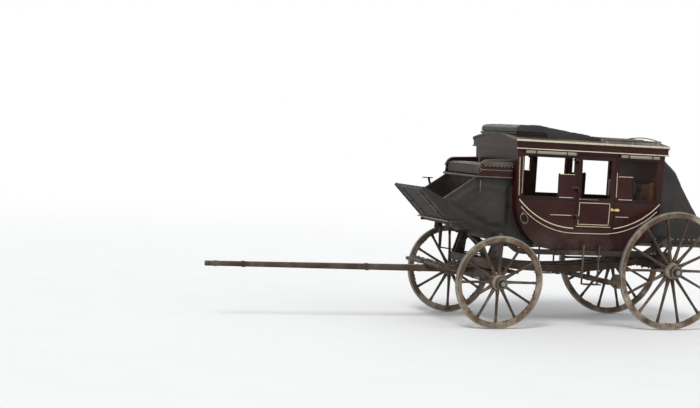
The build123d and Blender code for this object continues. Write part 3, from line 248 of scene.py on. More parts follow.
dust_colour = (0.40, 0.345, 0.265)
cant = math.radians(4.0)
tyre_depth, tyre_half, tyre_round = 0.016, 0.024, 0.004
felloe_depth, felloe_half = 0.064, 0.022
joint_gap = 0.0008
bolt_apart, plate_half = 0.03212, 0.0438
nave_sides = 64
wheel_sizes = {
    "front": {"radius": 0.584, "spokes": 12, "nave": 0.098, "inward": 0.130, "outward": 0.132,
              "band": 0.080, "cap": 0.050},
    "rear": {"radius": 0.7745, "spokes": 14, "nave": 0.108, "inward": 0.145, "outward": 0.148,
             "band": 0.088, "cap": 0.054},
}
# Stages of a spoke from nave to felloe: share of the length, width, depth, squareness
spoke_stages = ((0.00, 0.038, 0.058, 6.0), (0.09, 0.038, 0.057, 6.0), (0.20, 0.036, 0.050, 3.0),
                (0.36, 0.034, 0.046, 2.3), (0.60, 0.033, 0.042, 2.2), (0.85, 0.031, 0.038, 2.2),
                (0.92, 0.035, 0.040, 3.5), (1.00, 0.036, 0.040, 5.0))


def dusted(coat, colour, share, scale=3.0):
    """The colour with road dust lying in patches over it."""
    patch = coat.step(coat.cloud(scale, 6.0, roughness=0.65), 0.40, 0.72)
    return coat.mix(patch * share, colour, dust_colour)


def worn_paint(name, dark, light, dust, wear=0.6, mud=0.16, shine=0.3):
    coat = Coat(name)
    chips = coat.step(coat.cloud(9.0, 9.0, roughness=0.72), 0.52, 0.63)
    colour = coat.mix(coat.cloud(11.0, 6.0), dark, light)
    colour = coat.mix(chips * wear, colour, (0.045, 0.030, 0.020))
    low = 1.0 - coat.step(coat.axis("Z"), 0.05, 1.05)
    colour = dusted(coat, colour, dust + low * mud, 4.0)
    rough = 0.50 + chips * 0.25 + low * 0.12
    return coat.lay(colour, rough, coat.cloud(70.0, 3.0) * 0.4 - chips * 0.6, 0.0010, shine=shine)


def iron(name, colour=(0.018, 0.017, 0.017), rust=0.45, rough=0.50, dust=0.25, metal=0.45, shine=0.4):
    coat = Coat(name)
    spots = coat.step(coat.cloud(24.0, 8.0, roughness=0.7), 0.53, 0.68)
    shade = coat.mix(coat.cloud(10.0, 4.0), colour, tuple(c * 1.9 for c in colour))
    shade = coat.mix(spots * rust, shade, (0.095, 0.042, 0.022))
    shade = dusted(coat, shade, dust, 4.0)
    return coat.lay(shade, rough + spots * 0.3, coat.cloud(90.0, 4.0) * 0.5 + spots * 0.6, 0.0008,
                    metal - spots * 0.3, shine=shine)


class Works(Nodes):
    """A Geometry Nodes tree for what repeats on the coach. It ends in real faces of one finish."""

    def __init__(self, name, **inputs):
        super().__init__(bpy.data.node_groups.new(name, "GeometryNodeTree"))
        sockets = self.tree.interface
        sockets.new_socket("Geometry", in_out="INPUT", socket_type="NodeSocketGeometry")
        for label, value in inputs.items():
            kind = "NodeSocketInt" if isinstance(value, int) else "NodeSocketFloat"
            sockets.new_socket(label, in_out="INPUT", socket_type=kind).default_value = value
        sockets.new_socket("Finish", in_out="INPUT", socket_type="NodeSocketMaterial")
        sockets.new_socket("Geometry", in_out="OUTPUT", socket_type="NodeSocketGeometry")
        start = self.tree.nodes.new("NodeGroupInput")
        self.given = {socket.name: Shade(self, socket) for socket in start.outputs if socket.name}

    def close(self, geometry):
        real = self.make("GeometryNodeRealizeInstances", {}, {0: geometry})
        done = self.make("GeometryNodeSetMaterial", {}, {"Geometry": real, "Material": self.given["Finish"]})
        self.join(self.tree.nodes.new("NodeGroupOutput").inputs[0], done)

    def build(self, mesh, finish, **values):
        """The plain mesh that the tree makes of the given one."""
        bench = bpy.data.objects.new("bench", mesh)
        scene.collection.objects.link(bench)
        modifier = bench.modifiers.new("works", "NODES")
        modifier.node_group = self.tree
        for item in self.tree.interface.items_tree:
            if item.in_out == "INPUT" and item.name in values:
                modifier[item.identifier] = values[item.name]
            elif item.in_out == "INPUT" and item.name == "Finish":
                modifier[item.identifier] = finish
        made = bpy.data.meshes.new_from_object(bench.evaluated_get(bpy.context.evaluated_depsgraph_get()))
        bpy.data.objects.remove(bench)
        return made


def repeats_round():
    """Copies of a form at equal angles round local Z."""
    works = Works("repeats_round", Count=12)
    line = works.make("GeometryNodeMeshLine", {}, {"Count": works.given["Count"], "Offset": (0.0, 0.0, 0.0)})
    angle = works.make("GeometryNodeInputIndex") / works.given["Count"] * (2 * math.pi)
    spin = works.make("ShaderNodeCombineXYZ", {}, {"Z": angle})
    works.close(works.make("GeometryNodeInstanceOnPoints", {}, {
        "Points": line, "Instance": works.given["Geometry"], "Rotation": spin}))
    return works


def heads():
    """A bolt or rivet head on every point, along the point's facing."""
    works = Works("heads", Radius=0.010, Height=0.006, Taper=0.7, Sides=6)
    top = works.given["Radius"] * works.given["Taper"]
    head = works.make("GeometryNodeMeshCone", {}, {
        "Vertices": works.given["Sides"], "Radius Top": top, "Radius Bottom": works.given["Radius"],
        "Depth": works.given["Height"]})
    facing = works.make("GeometryNodeInputNamedAttribute", {"data_type": "FLOAT_VECTOR"}, {"Name": "facing"})
    lean = works.make("FunctionNodeAlignRotationToVector", {"axis": "Z"}, {"Vector": facing})
    works.close(works.make("GeometryNodeInstanceOnPoints", {}, {
        "Points": works.given["Geometry"], "Instance": head, "Rotation": lean}))
    return works


def beads():
    """A flat or rounded strip along every line, lying on the side that the line's points face."""
    works = Works("beads", Width=0.010, Height=0.005, Rounding=0.002)
    lift = works.make("ShaderNodeCombineXYZ", {}, {"X": works.given["Height"] * 0.5})
    strip = works.make("GeometryNodeCurvePrimitiveQuadrilateral", {"mode": "RECTANGLE"}, {
        "Width": works.given["Height"], "Height": works.given["Width"]})
    strip = works.make("GeometryNodeFilletCurve", {"mode": "POLY"}, {
        "Curve": strip, "Radius": works.given["Rounding"], "Count": 2, "Limit Radius": True})
    strip = works.make("GeometryNodeTransform", {}, {"Geometry": strip, "Translation": lift})
    facing = works.make("GeometryNodeInputNamedAttribute", {"data_type": "FLOAT_VECTOR"}, {"Name": "facing"})
    line = works.make("GeometryNodeMeshToCurve", {}, {"Mesh": works.given["Geometry"]})
    line = works.make("GeometryNodeSetCurveNormal", {"mode": "FREE"}, {"Curve": line, "Normal": facing})
    works.close(works.make("GeometryNodeCurveToMesh", {}, {
        "Curve": line, "Profile Curve": strip, "Fill Caps": True}))
    return works


round_works = repeats_round()
head_works = heads()
bead_works = beads()


def marked(lines, closed=False):
    """A mesh of the lines' points, each with the way it faces. A line of one point is a spot."""
    mesh = bpy.data.meshes.new("marks")
    points, faces, edges = [], [], []
    for line in lines:
        first = len(points)
        for point, facing in line:
            points.append(Vector(point))
            faces.extend(facing)
        edges += [(k, k + 1) for k in range(first, len(points) - 1)]
        if closed:
            edges.append((len(points) - 1, first))
    mesh.from_pydata(points, edges, [])
    mesh.attributes.new("facing", "FLOAT_VECTOR", "POINT").data.foreach_set("vector", faces)
    return mesh


def beading(lines, finish, width, height, rounding, closed=False):
    """Strips along the lines, lying on the side that their points face."""
    return bead_works.build(marked(lines, closed), finish, Width=width, Height=height, Rounding=rounding)


def heads_on(spots, finish, radius, height, taper, sides):
    """A bolt, nail or rivet head on each spot."""
    return head_works.build(marked(spots), finish, Radius=radius, Height=height, Taper=taper, Sides=sides)


def surface(rows, round_rows=False, round_columns=True, capped=True, crease=35.0):
    """A closed form through rows of points, with the ends of a tube capped."""
    shell = bmesh.new()
    grid = [[shell.verts.new(point) for point in row] for row in rows]
    wide = len(grid[0])
    for i in range(len(grid) if round_rows else len(grid) - 1):
        low, high = grid[i], grid[(i + 1) % len(grid)]
        for j in range(wide if round_columns else wide - 1):
            shell.faces.new((low[j], low[(j + 1) % wide], high[(j + 1) % wide], high[j]))
    if capped and round_columns and not round_rows:
        shell.faces.new(grid[0])
        shell.faces.new(grid[-1])
    bmesh.ops.remove_doubles(shell, verts=shell.verts, dist=1e-6)
    bmesh.ops.dissolve_degenerate(shell, edges=shell.edges, dist=1e-7)
    bmesh.ops.recalc_face_normals(shell, faces=shell.faces)
    mesh = bpy.data.meshes.new("surface")
    shell.to_mesh(mesh)
    shell.free()
    mesh.shade_smooth()
    mesh.set_sharp_from_angle(angle=math.radians(crease))
    return mesh


def together(*meshes):
    """One mesh of several."""
    whole = bmesh.new()
    for mesh in meshes:
        whole.from_mesh(mesh)
    made = bpy.data.meshes.new("together")
    whole.to_mesh(made)
    whole.free()
    return made


def fitted(name, mesh, finish, body, stands_for=()):
    """Gives a mesh its finish, puts it on its body and hides the CAD nodes that it stands for."""
    mesh.materials.clear()
    mesh.materials.append(finish)
    mesh.polygons.foreach_set("material_index", [0] * len(mesh.polygons))
    piece = bpy.data.objects.new(name, mesh)
    scene.collection.objects.link(piece)
    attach(piece, body)
    if stands_for:
        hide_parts(*stands_for)
    return piece


def turned(section, sides, hollow=False):
    """A form turned round local Z from (radius, height) points: a closed section makes a hoop."""
    angles = [2 * math.pi * k / sides for k in range(sides)]
    rows = [[Vector((r * math.cos(a), r * math.sin(a), z)) for r, z in section] for a in angles]
    return surface(rows, True, hollow)


def spoke_form(radius, dish, start, end):
    rows = []
    for share, across, along, square in spoke_stages:
        x = start + share * (end - start)
        rows.append([])
        for k in range(16):
            c, s = math.cos(math.pi * k / 8), math.sin(math.pi * k / 8)
            y = math.copysign(abs(c) ** (2 / square), c) * across / 2
            z = math.copysign(abs(s) ** (2 / square), s) * along / 2
            rows[-1].append(Vector((x, y, z - dish * (1 - x / radius))))
    return surface(rows)


def felloe_form(radius, count):
    """One sawn felloe, chamfered between its two spokes, with its ends a hair short of the joint."""
    outer, inner = radius - tyre_depth, radius - tyre_depth - felloe_depth
    sweep = 2 * math.pi / count
    rows = []
    for k in range(25):
        share = k / 24
        angle = sweep * (share - 0.25) + (joint_gap / radius) * (1 - 2 * share)
        between = abs(math.sin(2 * math.pi * share)) ** 0.35
        cut = 0.002 + 0.010 * between
        section = ((outer, -felloe_half), (outer, felloe_half), (inner + cut, felloe_half),
                   (inner, felloe_half - cut), (inner, cut - felloe_half), (inner + cut, -felloe_half))
        rows.append([Vector((r * math.cos(angle), r * math.sin(angle), z)) for r, z in section])
    return surface(rows, crease=25.0)


def wheel_irons(size, dish, finish):
    """Nave bands, axle cap, tyre bolts and the plates over the felloe joints."""
    radius, nave, band, cap = size["radius"], size["nave"], size["band"], size["cap"]
    inner_end, outer_end = -dish - size["inward"], -dish + size["outward"]
    bore = radius - tyre_depth - felloe_depth
    irons = []
    for r, low, high in ((band, inner_end, inner_end + 0.034), (band - 0.003, outer_end - 0.034, outer_end),
                         (nave - 0.001, -dish - 0.050, -dish - 0.036),
                         (nave - 0.001, -dish + 0.036, -dish + 0.050)):
        section = ((r - 0.012, low), (r, low + 0.0015), (r, high - 0.0015), (r - 0.012, high))
        irons.append(turned(section, nave_sides, True))
    cap_profile = ((0, -0.002), (cap + 0.008, -0.002), (cap + 0.008, 0.006), (cap, 0.010), (cap, 0.030),
                   (cap - 0.006, 0.039), (cap - 0.016, 0.0415), (0.031, 0.0405), (0.031, 0.037), (0, 0.037))
    irons.append(turned([(r, outer_end + z) for r, z in cap_profile], 8))
    felloes = size["spokes"] // 2
    bolts, plates = [], []
    for k in range(felloes):
        joint = 2 * math.pi * (k - 0.25) / felloes
        for apart in (-bolt_apart, bolt_apart):
            a = joint + apart / radius
            inward = Vector((-math.cos(a), -math.sin(a), 0))
            bolts.append([(-inward * (bore - 0.003), inward)])
        angles = [joint + (s - 3) / 3 * plate_half / radius for s in range(7)]
        plates.append([(Vector((bore * math.cos(a), bore * math.sin(a), 0)),
                        Vector((-math.cos(a), -math.sin(a), 0))) for a in angles])
    irons.append(heads_on(bolts, finish, 0.008, 0.008, 0.9, 4))
    irons.append(beading(plates, finish, 0.030, 0.004, 0.001))
    return together(*irons)


spoke_coat = worn_paint("spoke_paint", (0.028, 0.013, 0.007), (0.054, 0.026, 0.013), 0.16, mud=0.12)
rim_coat = worn_paint("rim_paint", (0.060, 0.034, 0.018), (0.110, 0.066, 0.035), 0.70, mud=0.20)
# The nave is painted far lighter than the spokes: partly a painted highlight for its sunlit outer end, partly
# the heavy road dust on it.
nave_highlight_coat = worn_paint("nave_paint", (0.110, 0.072, 0.042), (0.190, 0.130, 0.080), 0.75, mud=0.20)
tyre_coat = iron("tyre_iron", (0.13, 0.118, 0.10), 0.30, 0.55, 0.75, 0.30)
black_iron = iron("black_iron")
worn_iron = iron("worn_iron", (0.075, 0.070, 0.064), 0.35, 0.42, 0.35, 0.55)
bright_iron = iron("bright_iron", (0.17, 0.162, 0.150), 0.25, 0.42, 0.25, 0.50)
for joint in frame["joints"]:
    if not joint["name"].endswith("_wheel_turn"):
        continue
    corner = joint["child"].replace("_wheel", "")
    size = wheel_sizes[corner.split("_")[0]]
    out = Vector(joint["axis"]) * (1 if "left" in corner else -1)
    ahead = Vector((1, 0, 0))
    stance = Matrix((ahead, out.cross(ahead), out)).transposed().to_4x4()
    stance = Matrix.Translation(joint["pos_m"]) @ stance
    radius, dish = size["radius"], size["radius"] * math.tan(cant)
    bore = radius - tyre_depth - felloe_depth
    nave, band = size["nave"], size["band"]
    inner_end, outer_end = -dish - size["inward"], -dish + size["outward"]
    edge = [(radius - tyre_depth, tyre_half), (radius - tyre_round, tyre_half),
            (radius - tyre_round * 0.3, tyre_half - tyre_round * 0.7),
            (radius, tyre_half - tyre_round - 0.004)]
    tyre = turned([(r, -z) for r, z in edge] + edge[::-1], 128, True)
    felloes = round_works.build(felloe_form(radius, size["spokes"] // 2), rim_coat, Count=size["spokes"] // 2)
    spokes = round_works.build(spoke_form(radius, dish, nave - 0.014, bore + 0.004), spoke_coat,
                               Count=size["spokes"])
    turned_nave = turned(
        ((0, inner_end), (band - 0.006, inner_end), (band - 0.006, inner_end + 0.036),
         (band - 0.003, inner_end + 0.042), (band + 0.004, -dish - 0.074), (nave - 0.006, -dish - 0.058),
         (nave - 0.003, -dish - 0.050), (nave, -dish - 0.034), (nave, -dish + 0.034),
         (nave - 0.003, -dish + 0.050), (nave - 0.007, -dish + 0.060), (band + 0.002, -dish + 0.078),
         (band - 0.004, outer_end - 0.060), (band - 0.008, outer_end - 0.042),
         (band - 0.009, outer_end - 0.034), (band - 0.010, outer_end), (0, outer_end)), nave_sides)
    oil_cap = turned([(r, outer_end + z) for r, z in ((0, 0.035), (0.028, 0.035), (0.028, 0.0405),
                                                      (0.024, 0.0425), (0, 0.0425))], 32)
    for name, mesh, finish, slot, stands_for in (
            ("tyre", tyre, tyre_coat, "tyre_iron", "tyre"),
            ("felloes", felloes, rim_coat, "gear_paint", "felloes"),
            ("spokes", spokes, spoke_coat, "gear_paint", "nave"),
            ("nave", turned_nave, nave_highlight_coat, "gear_paint", "nave"),
            ("irons", wheel_irons(size, dish, black_iron), black_iron, "black_iron", "nave"),
            ("oil_cap", oil_cap, bright_iron, "black_iron", "nave")):
        mesh.transform(stance)
        fitted(f"{corner}_wheel_{name}", mesh, finish, joint["child"], (f"{corner}_{stands_for}",))

# Ash beds, bolster, perches and futchells on forged axles, held by iron clips whose nuts are
# underneath, with bolts through every crossing. The gear is painted, and grey with dust below.

rear_axle_x = sum(corner.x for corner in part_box("rear_left_tyre")) / 2
front_axle_x = sum(corner.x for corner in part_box("front_left_tyre")) / 2
clip_width, clip_thickness = 0.038, 0.006


def paint_nodes(names, material):
    for name in names:
        node = nodes[name]
        node.data.materials.clear()
        node.data.materials.append(material)


gear_coat = worn_paint("gear_paint", (0.030, 0.014, 0.008), (0.056, 0.027, 0.013), 0.10)
paint_nodes(("rear_bed", "front_bed", "front_bolster", "perches", "futchells", "splinter_bar", "swingletrees",
             "pole", "brake_beam"), gear_coat)
paint_nodes(("rear_axle", "front_axle", "kingpin_plate", "turning_plate", "front_standards", "rear_standards",
             "brake_lever", "door_hinges", "steps", "splinter_stays", "pole_iron"), black_iron)
paint_nodes(("roof_rails",), worn_iron)


def axle_clips(axle_x, bed, axle_deep, places):
    """Clips over a bed and round the axle under it, with their nuts below."""
    low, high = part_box(bed)
    bar_low, reach = low.z - axle_deep, (high.x - low.x) / 2
    plate_low = bar_low - 0.008
    clips, nuts = [], []
    for y in places:
        for side in (-1, 1):
            clips.append([((axle_x + side * reach, y, plate_low), (side, 0, 0)),
                          ((axle_x + side * reach, y, high.z), (side, 0, 0))])
            nuts.append([((axle_x + side * (reach - 0.004), y, plate_low - 0.004), (0, 0, -1))])
        clips.append([((axle_x - reach - clip_thickness, y, high.z), (0, 0, 1)),
                      ((axle_x + reach + clip_thickness, y, high.z), (0, 0, 1))])
        clips.append([((axle_x - reach - 0.012, y, bar_low), (0, 0, -1)),
                      ((axle_x + reach + 0.012, y, bar_low), (0, 0, -1))])
    return together(beading(clips, black_iron, clip_width, clip_thickness, 0.0012),
                    heads_on(nuts, black_iron, 0.015, 0.012, 0.95, 4))


fitted("front_axle_clips", axle_clips(front_axle_x, "front_bed", 0.048, (-0.50, -0.36, 0.36, 0.50)),
       black_iron, "front_carriage")
fitted("rear_axle_clips", axle_clips(rear_axle_x, "rear_bed", 0.054, (-0.42, -0.15, 0.15, 0.42)),
       black_iron, "coach")

# Thoroughbraces: eight thicknesses of oiled harness leather on each side, looped round the
# pins of the standards and bound with leather keepers, carry the whole cabin.

hands = ((1, "left"), (-1, "right"))
strap_layers = 8
strap_half_width = 0.038
strap_y = 0.560
strap_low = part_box("thoroughbraces")[0].z
strap_depth = 0.064
strap_bend = 0.170
pin_radius = 0.0215
front_pin = Vector((front_axle_x - 0.080, 1.150))
rear_pin = Vector((rear_axle_x - 0.060, 1.172))
strap_corners = (Vector((front_axle_x - 0.355, strap_low + strap_depth / 2)),
                 Vector((rear_axle_x + 0.265, strap_low + strap_depth / 2)))


def leather(name, colour, gloss=0.48, crease=1.0, dust=0.15, shine=0.35, pore=260.0):
    coat = Coat(name)
    fold = coat.cloud(5.0, 6.0, (1.0, 1.0, 1.6), 0.6)
    # The colour follows the same fold noise as the bump: painted shade in the hollows of the folds and a
    # painted highlight on their crests, over the leather's own tone.
    shade = coat.mix(fold, tuple(c * 0.55 for c in colour), tuple(c * 1.6 for c in colour))
    scuff = coat.step(coat.cloud(13.0, 8.0, roughness=0.75), 0.56, 0.74)
    shade = coat.mix(scuff * 0.45, shade, tuple(c * 3.0 + 0.02 for c in colour))
    shade = dusted(coat, shade, dust, 2.2)
    relief = fold * (1.2 * crease) + coat.cells(pore) * 0.10 + coat.cloud(30.0, 5.0) * (0.35 * crease)
    return coat.lay(shade, gloss + scuff * 0.25, relief, 0.003, shine=shine)


def bent_line(points, bend, steps=10):
    """A line through the points with each inner corner rounded by an arc."""
    line = [points[0]]
    for before, corner, after in zip(points, points[1:], points[2:]):
        back, on = (before - corner).normalized(), (after - corner).normalized()
        half = back.angle(on) / 2
        reach = bend / math.tan(half)
        middle = corner + (back + on).normalized() * (bend / math.sin(half))
        start, end = corner + back * reach - middle, corner + on * reach - middle
        for k in range(steps + 1):
            spot = start.lerp(end, k / steps).normalized() * bend
            line.append(middle + spot)
    return line + [points[-1]]


def cross_flat(line):
    """The upward normal of a flat (x, z) line at each of its points."""
    ups = []
    for k in range(len(line)):
        along = (line[min(k + 1, len(line) - 1)] - line[max(k - 1, 0)]).normalized()
        ups.append(Vector((along.y, -along.x)) if along.x < 0 else Vector((-along.y, along.x)))
    return ups


strap_leather = leather("strap_leather", (0.022, 0.015, 0.011), 0.6, 0.5, 0.18, 0.25)
strap_line = bent_line([front_pin, *strap_corners, rear_pin], strap_bend)
dense = [strap_line[0].lerp(strap_line[1], k / 8) for k in range(8)] + strap_line[1:-2]
dense += [strap_line[-2].lerp(strap_line[-1], k / 8) for k in range(9)]
strap_ups = cross_flat(dense)
layer = strap_depth / strap_layers
ply_half = layer * 0.44
turn_step, turn_thick = 0.0074, 0.0066
for side, hand in hands:
    bands = []
    for k in range(strap_layers):
        lift = (k - (strap_layers - 1) / 2) * layer
        wide = strap_half_width + 0.0015 * math.sin(2.3 * k) - 0.0015
        rows = []
        for spot, up in zip(dense, strap_ups):
            corners = [(w, spot + up * (lift + h)) for w, h in ((-wide, -ply_half), (wide, -ply_half),
                                                               (wide, ply_half), (-wide, ply_half))]
            rows.append([Vector((at.x, side * (strap_y + w), at.y)) for w, at in corners])
        bands.append(surface(rows, crease=20.0))
    for pin in (front_pin, rear_pin):
        for k in range(3):
            low = pin_radius + k * turn_step
            high = low + turn_thick
            section = ((low, -strap_half_width), (high, -strap_half_width),
                       (high, strap_half_width), (low, strap_half_width))
            ring = []
            for a in (2 * math.pi * s / 40 for s in range(40)):
                ring.append([Vector((pin.x + r * math.cos(a), side * (strap_y + w), pin.y + r * math.sin(a)))
                             for r, w in section])
            bands.append(surface(ring, True))
    fitted(f"{hand}_thoroughbrace", together(*bands), strap_leather, "coach",
           ("thoroughbraces",))

# Cabin: steamed basswood panels on ash posts, canvas glued inside, outside rubbed down under
# coats of dark red paint and varnish. The inside of the walls is lined with russet leather.

belt_height = 1.650
belt_half = 0.665
side_drop, side_curl, top_lean = 0.0413, 0.269, 0.0167
tub_centre, tub_radius, end_lean = 1.590, 0.600, 0.0455
lining_depth = 0.016
cabin_rear_x, cabin_front_x = rear_axle_x + 0.140, front_axle_x - 0.260
cabin_mid_x = (cabin_rear_x + cabin_front_x) / 2


def side_y(z):
    """How far the outer skin of the side stands from the middle at a height."""
    drop = max(0.0, belt_height - z)
    return belt_half + drop * side_drop - drop * drop * side_curl - max(0.0, z - belt_height) * top_lean


def side_facing(z, side):
    drop = belt_height - z
    slope = 2 * drop * side_curl - side_drop if drop > 0 else -top_lean
    return Vector((0, side, -slope)).normalized()


def on_side(x, z, side, proud=0.0):
    facing = side_facing(z, side)
    return Vector((x, side * side_y(z), z)) + facing * proud, facing


def panel_paint(name, tone_low, tone_high, lined="", dust=0.015):
    """Varnished paint. A lined side or end wall has leather on the faces that look inwards."""
    coat = Coat(name)
    tone = coat.mix(coat.cloud(2.2, 5.0), tone_low, tone_high)
    craze = coat.step(coat.cloud(26.0, 8.0, (1.0, 1.0, 0.35), 0.7), 0.60, 0.74)
    tone = coat.mix(craze * 0.5, tone, (0.016, 0.007, 0.006))
    height = coat.axis("Z")
    low = 1.0 - coat.step(height, 0.98, 1.45)
    tone = dusted(coat, tone, dust + low * 0.09, 2.4)
    rough = 0.32 + low * 0.22 + craze * 0.2
    relief = craze * 0.25 + coat.cloud(1.5, 2.0) * 2.0
    if not lined:
        return coat.lay(tone, rough, relief, 0.0012, coat=0.03, shine=0.16)
    bend_height = belt_height if lined == "side" else tub_centre
    drop, rise = (bend_height - height).from_zero(), (height - bend_height).from_zero()
    if lined == "side":
        skin = belt_half + drop * side_drop - drop * drop * side_curl - rise * top_lean
        inside = (abs(coat.axis("Y")) - skin) < -lining_depth
    else:
        rest = (tub_radius ** 2 - drop * drop).from_zero()
        reach = rest.maths("SQRT", rest) + rise * end_lean
        half = (cabin_front_x - cabin_rear_x) / 2 - tub_radius
        inside = (abs(coat.axis("X") - cabin_mid_x) - reach) < half - lining_depth
    hide = coat.mix(coat.cloud(7.0, 6.0), (0.060, 0.022, 0.011), (0.11, 0.042, 0.020))
    colour = coat.mix(inside, tone, hide)
    return coat.lay(colour, rough + inside * 0.2, relief + coat.cells(40.0) * inside * 0.8, 0.0012,
                    coat=0.03 - inside * 0.03, shine=0.16)


panel_coat = panel_paint("panel_paint", (0.018, 0.0028, 0.0026), (0.030, 0.0044, 0.0040), "side")
end_coat = panel_paint("end_paint", (0.018, 0.0028, 0.0026), (0.030, 0.0044, 0.0040), "end")
plain_coat = panel_paint("seat_paint", (0.017, 0.0028, 0.0026), (0.028, 0.0042, 0.0038))
boot_leather = leather("boot_leather", (0.012, 0.010, 0.009), 0.46, 1.0, 0.03, 0.35)
seat_leather = leather("seat_leather", (0.020, 0.012, 0.009), 0.48, 0.7, 0.05, 0.25)
lining_leather = leather("lining_leather", (0.060, 0.024, 0.012), 0.50, 0.7, 0.05, 0.25)
trim_coat = panel_paint("trim_paint", (0.008, 0.0035, 0.0032), (0.016, 0.006, 0.0055))
tread_coat = worn_paint("tread_paint", (0.014, 0.009, 0.007), (0.026, 0.016, 0.012), 0.05, shine=0.08)
paint_nodes(("left_side_panel", "right_side_panel", "left_door", "right_door"), panel_coat)
paint_nodes(("front_wall", "rear_wall"), end_coat)
paint_nodes(("cornice", "driver_seat", "deck_seat"), plain_coat)
paint_nodes(("footboard", "boot_floor"), tread_coat)

# Mouldings: half-round beech strips, pinned and glued on the panels. The two belly lines, the
# door's frame line and short lengths of the belt are picked out in cream, and the rest is dark.

door_rear_x, door_front_x = -1.78775, -1.24275
belly_flat, belly_radius = 0.400, 1.100
belly_upper, belly_lower = 1.276, 1.214
wing_top, window_sill, window_top = 1.958, 1.668, 2.165
front_window = (door_front_x + 0.042, cabin_front_x - 0.062)
rear_window = (cabin_rear_x + 0.062, door_rear_x - 0.042)
wing_width, wing_sill, waist_line = 0.215, 1.664, 1.440


def cream_line():
    coat = Coat("cream_line")
    dirt = coat.step(coat.cloud(18.0, 8.0, roughness=0.7), 0.50, 0.75)
    colour = coat.mix(coat.cloud(6.0), (0.50, 0.43, 0.29), (0.66, 0.58, 0.42))
    colour = coat.mix(dirt * 0.6, colour, (0.20, 0.15, 0.09))
    return coat.lay(colour, 0.45 + dirt * 0.2, dirt * -0.4, 0.0006, shine=0.3)


cream_coat = cream_line()


def belly_z(x, low):
    """Height of a belly line: flat in the middle, an arc towards each end."""
    past = max(0.0, abs(x - cabin_mid_x) - belly_flat / 2)
    return low + belly_radius - math.sqrt(belly_radius ** 2 - past ** 2)


def tub_reach(z):
    """How far the cabin's end stands from the tub's round corner at a height."""
    if z >= tub_centre:
        return tub_radius + end_lean * (z - tub_centre)
    return math.sqrt(max(0.0, tub_radius ** 2 - (tub_centre - z) ** 2))


def belly_line(low, side, x_from, x_to):
    line = []
    for k in range(41):
        x = x_from + (x_to - x_from) * k / 40
        z = belly_z(x, low)
        if abs(x - cabin_mid_x) < (cabin_front_x - cabin_rear_x) / 2 - tub_radius + tub_reach(z) - 0.004:
            line.append(on_side(x, z, side))
    return line


def flat_run(side, *corners):
    """A line over the side from corner to corner, in short steps that follow its curve."""
    line = []
    for (x, z), (x_next, z_next) in zip(corners, corners[1:]):
        steps = max(2, int(math.hypot(x_next - x, z_next - z) / 0.03))
        line += [on_side(x + (x_next - x) * k / steps, z + (z_next - z) * k / steps, side)
                 for k in range(steps)]
    return line + [on_side(*corners[-1], side)]


def frame_run(side, x_front, x_rear, z_low, z_high):
    """A line round a door's frame, from its lower front corner back to it."""
    start = (x_front, z_low)
    return flat_run(side, start, (x_rear, z_low), (x_rear, z_high), (x_front, z_high), start)


for side, hand in hands:
    broad = [belly_line(belly_upper, side, cabin_rear_x, door_rear_x - 0.014),
             belly_line(belly_upper, side, door_front_x + 0.014, cabin_front_x)]
    thin = [belly_line(belly_lower, side, cabin_rear_x, cabin_front_x)]
    belt = [flat_run(side, (x, belt_height - 0.009), (x_next, belt_height - 0.009)) for x, x_next in (
        (cabin_rear_x + 0.004, door_rear_x - 0.012), (door_front_x + 0.012, cabin_front_x - 0.004))]
    picked = [flat_run(side, (x, z), (x_next, z_next)) for x, z, x_next, z_next in (
        (front_window[0] + 0.010, wing_sill, front_window[0] + wing_width, wing_sill),
        (rear_window[1] - wing_width, wing_sill, rear_window[1] - 0.010, wing_sill),
        (front_window[0], wing_top, front_window[0] + wing_width, wing_top),
        (rear_window[1] - wing_width, wing_top, rear_window[1], wing_top),
        (door_front_x + 0.050, waist_line, door_front_x + 0.355, waist_line),
        (door_rear_x - 0.215, waist_line, door_rear_x - 0.030, waist_line),
        (door_rear_x - 0.020, 1.690, door_rear_x - 0.020, 2.010),
        (cabin_front_x - 0.014, 1.670, cabin_front_x - 0.002, 2.150),
        (front_window[1] + 0.008, 1.690, front_window[1] + 0.008, 2.158))]
    cream = together(
        beading(broad, cream_coat, 0.014, 0.0085, 0.004),
        beading(thin, cream_coat, 0.009, 0.0085, 0.003),
        beading(picked, cream_coat, 0.008, 0.004, 0.002))
    fitted(f"{hand}_cream_lines", cream, cream_coat, "coach", ("side_mouldings",))
    frames = []
    for window, near, inward in ((front_window, 0, 1), (rear_window, 1, -1)):
        at_wing, away = window[near], window[1 - near]
        past_wing = at_wing + inward * wing_width
        frames.append(flat_run(side, (at_wing, wing_top + 0.012), (at_wing, window_top + 0.008),
                               (away, window_top + 0.008), (away, window_sill - 0.006),
                               (past_wing, window_sill - 0.006), (past_wing, wing_top + 0.012)))
    dark = together(beading(belt, trim_coat, 0.018, 0.009, 0.004),
                    beading(frames, trim_coat, 0.016, 0.006, 0.0025))
    fitted(f"{hand}_dark_mouldings", dark, trim_coat, "coach", ("side_mouldings",))
    door_body = f"{hand}_door_leaf"
    panel = [frame_run(side, door_front_x - 0.046, door_rear_x + 0.066, 1.330, 1.606),
             flat_run(side, (door_front_x - 0.020, 1.303), (door_rear_x + 0.030, 1.303)),
             flat_run(side, (door_front_x - 0.040, 1.652), (door_front_x - 0.310, 1.652))]
    fitted(f"{hand}_door_lines", beading(panel, cream_coat, 0.0085, 0.004, 0.002),
           cream_coat, door_body)
    sash = [frame_run(side, door_front_x - 0.054, door_rear_x + 0.054, 1.660, 2.158)]
    fitted(f"{hand}_door_sash", beading(sash, trim_coat, 0.018, 0.006, 0.0025),
           trim_coat, door_body)


def brass():
    coat = Coat("brass")
    stain = coat.step(coat.cloud(40.0, 6.0), 0.45, 0.70)
    colour = coat.mix(stain * 0.7, (0.72, 0.52, 0.22), (0.26, 0.17, 0.07))
    return coat.lay(colour, 0.28 + stain * 0.3, coat.cloud(80.0) * 0.4, 0.0005, 0.9)


brass_coat = brass()
paint_nodes(("left_door_handle", "right_door_handle"), brass_coat)


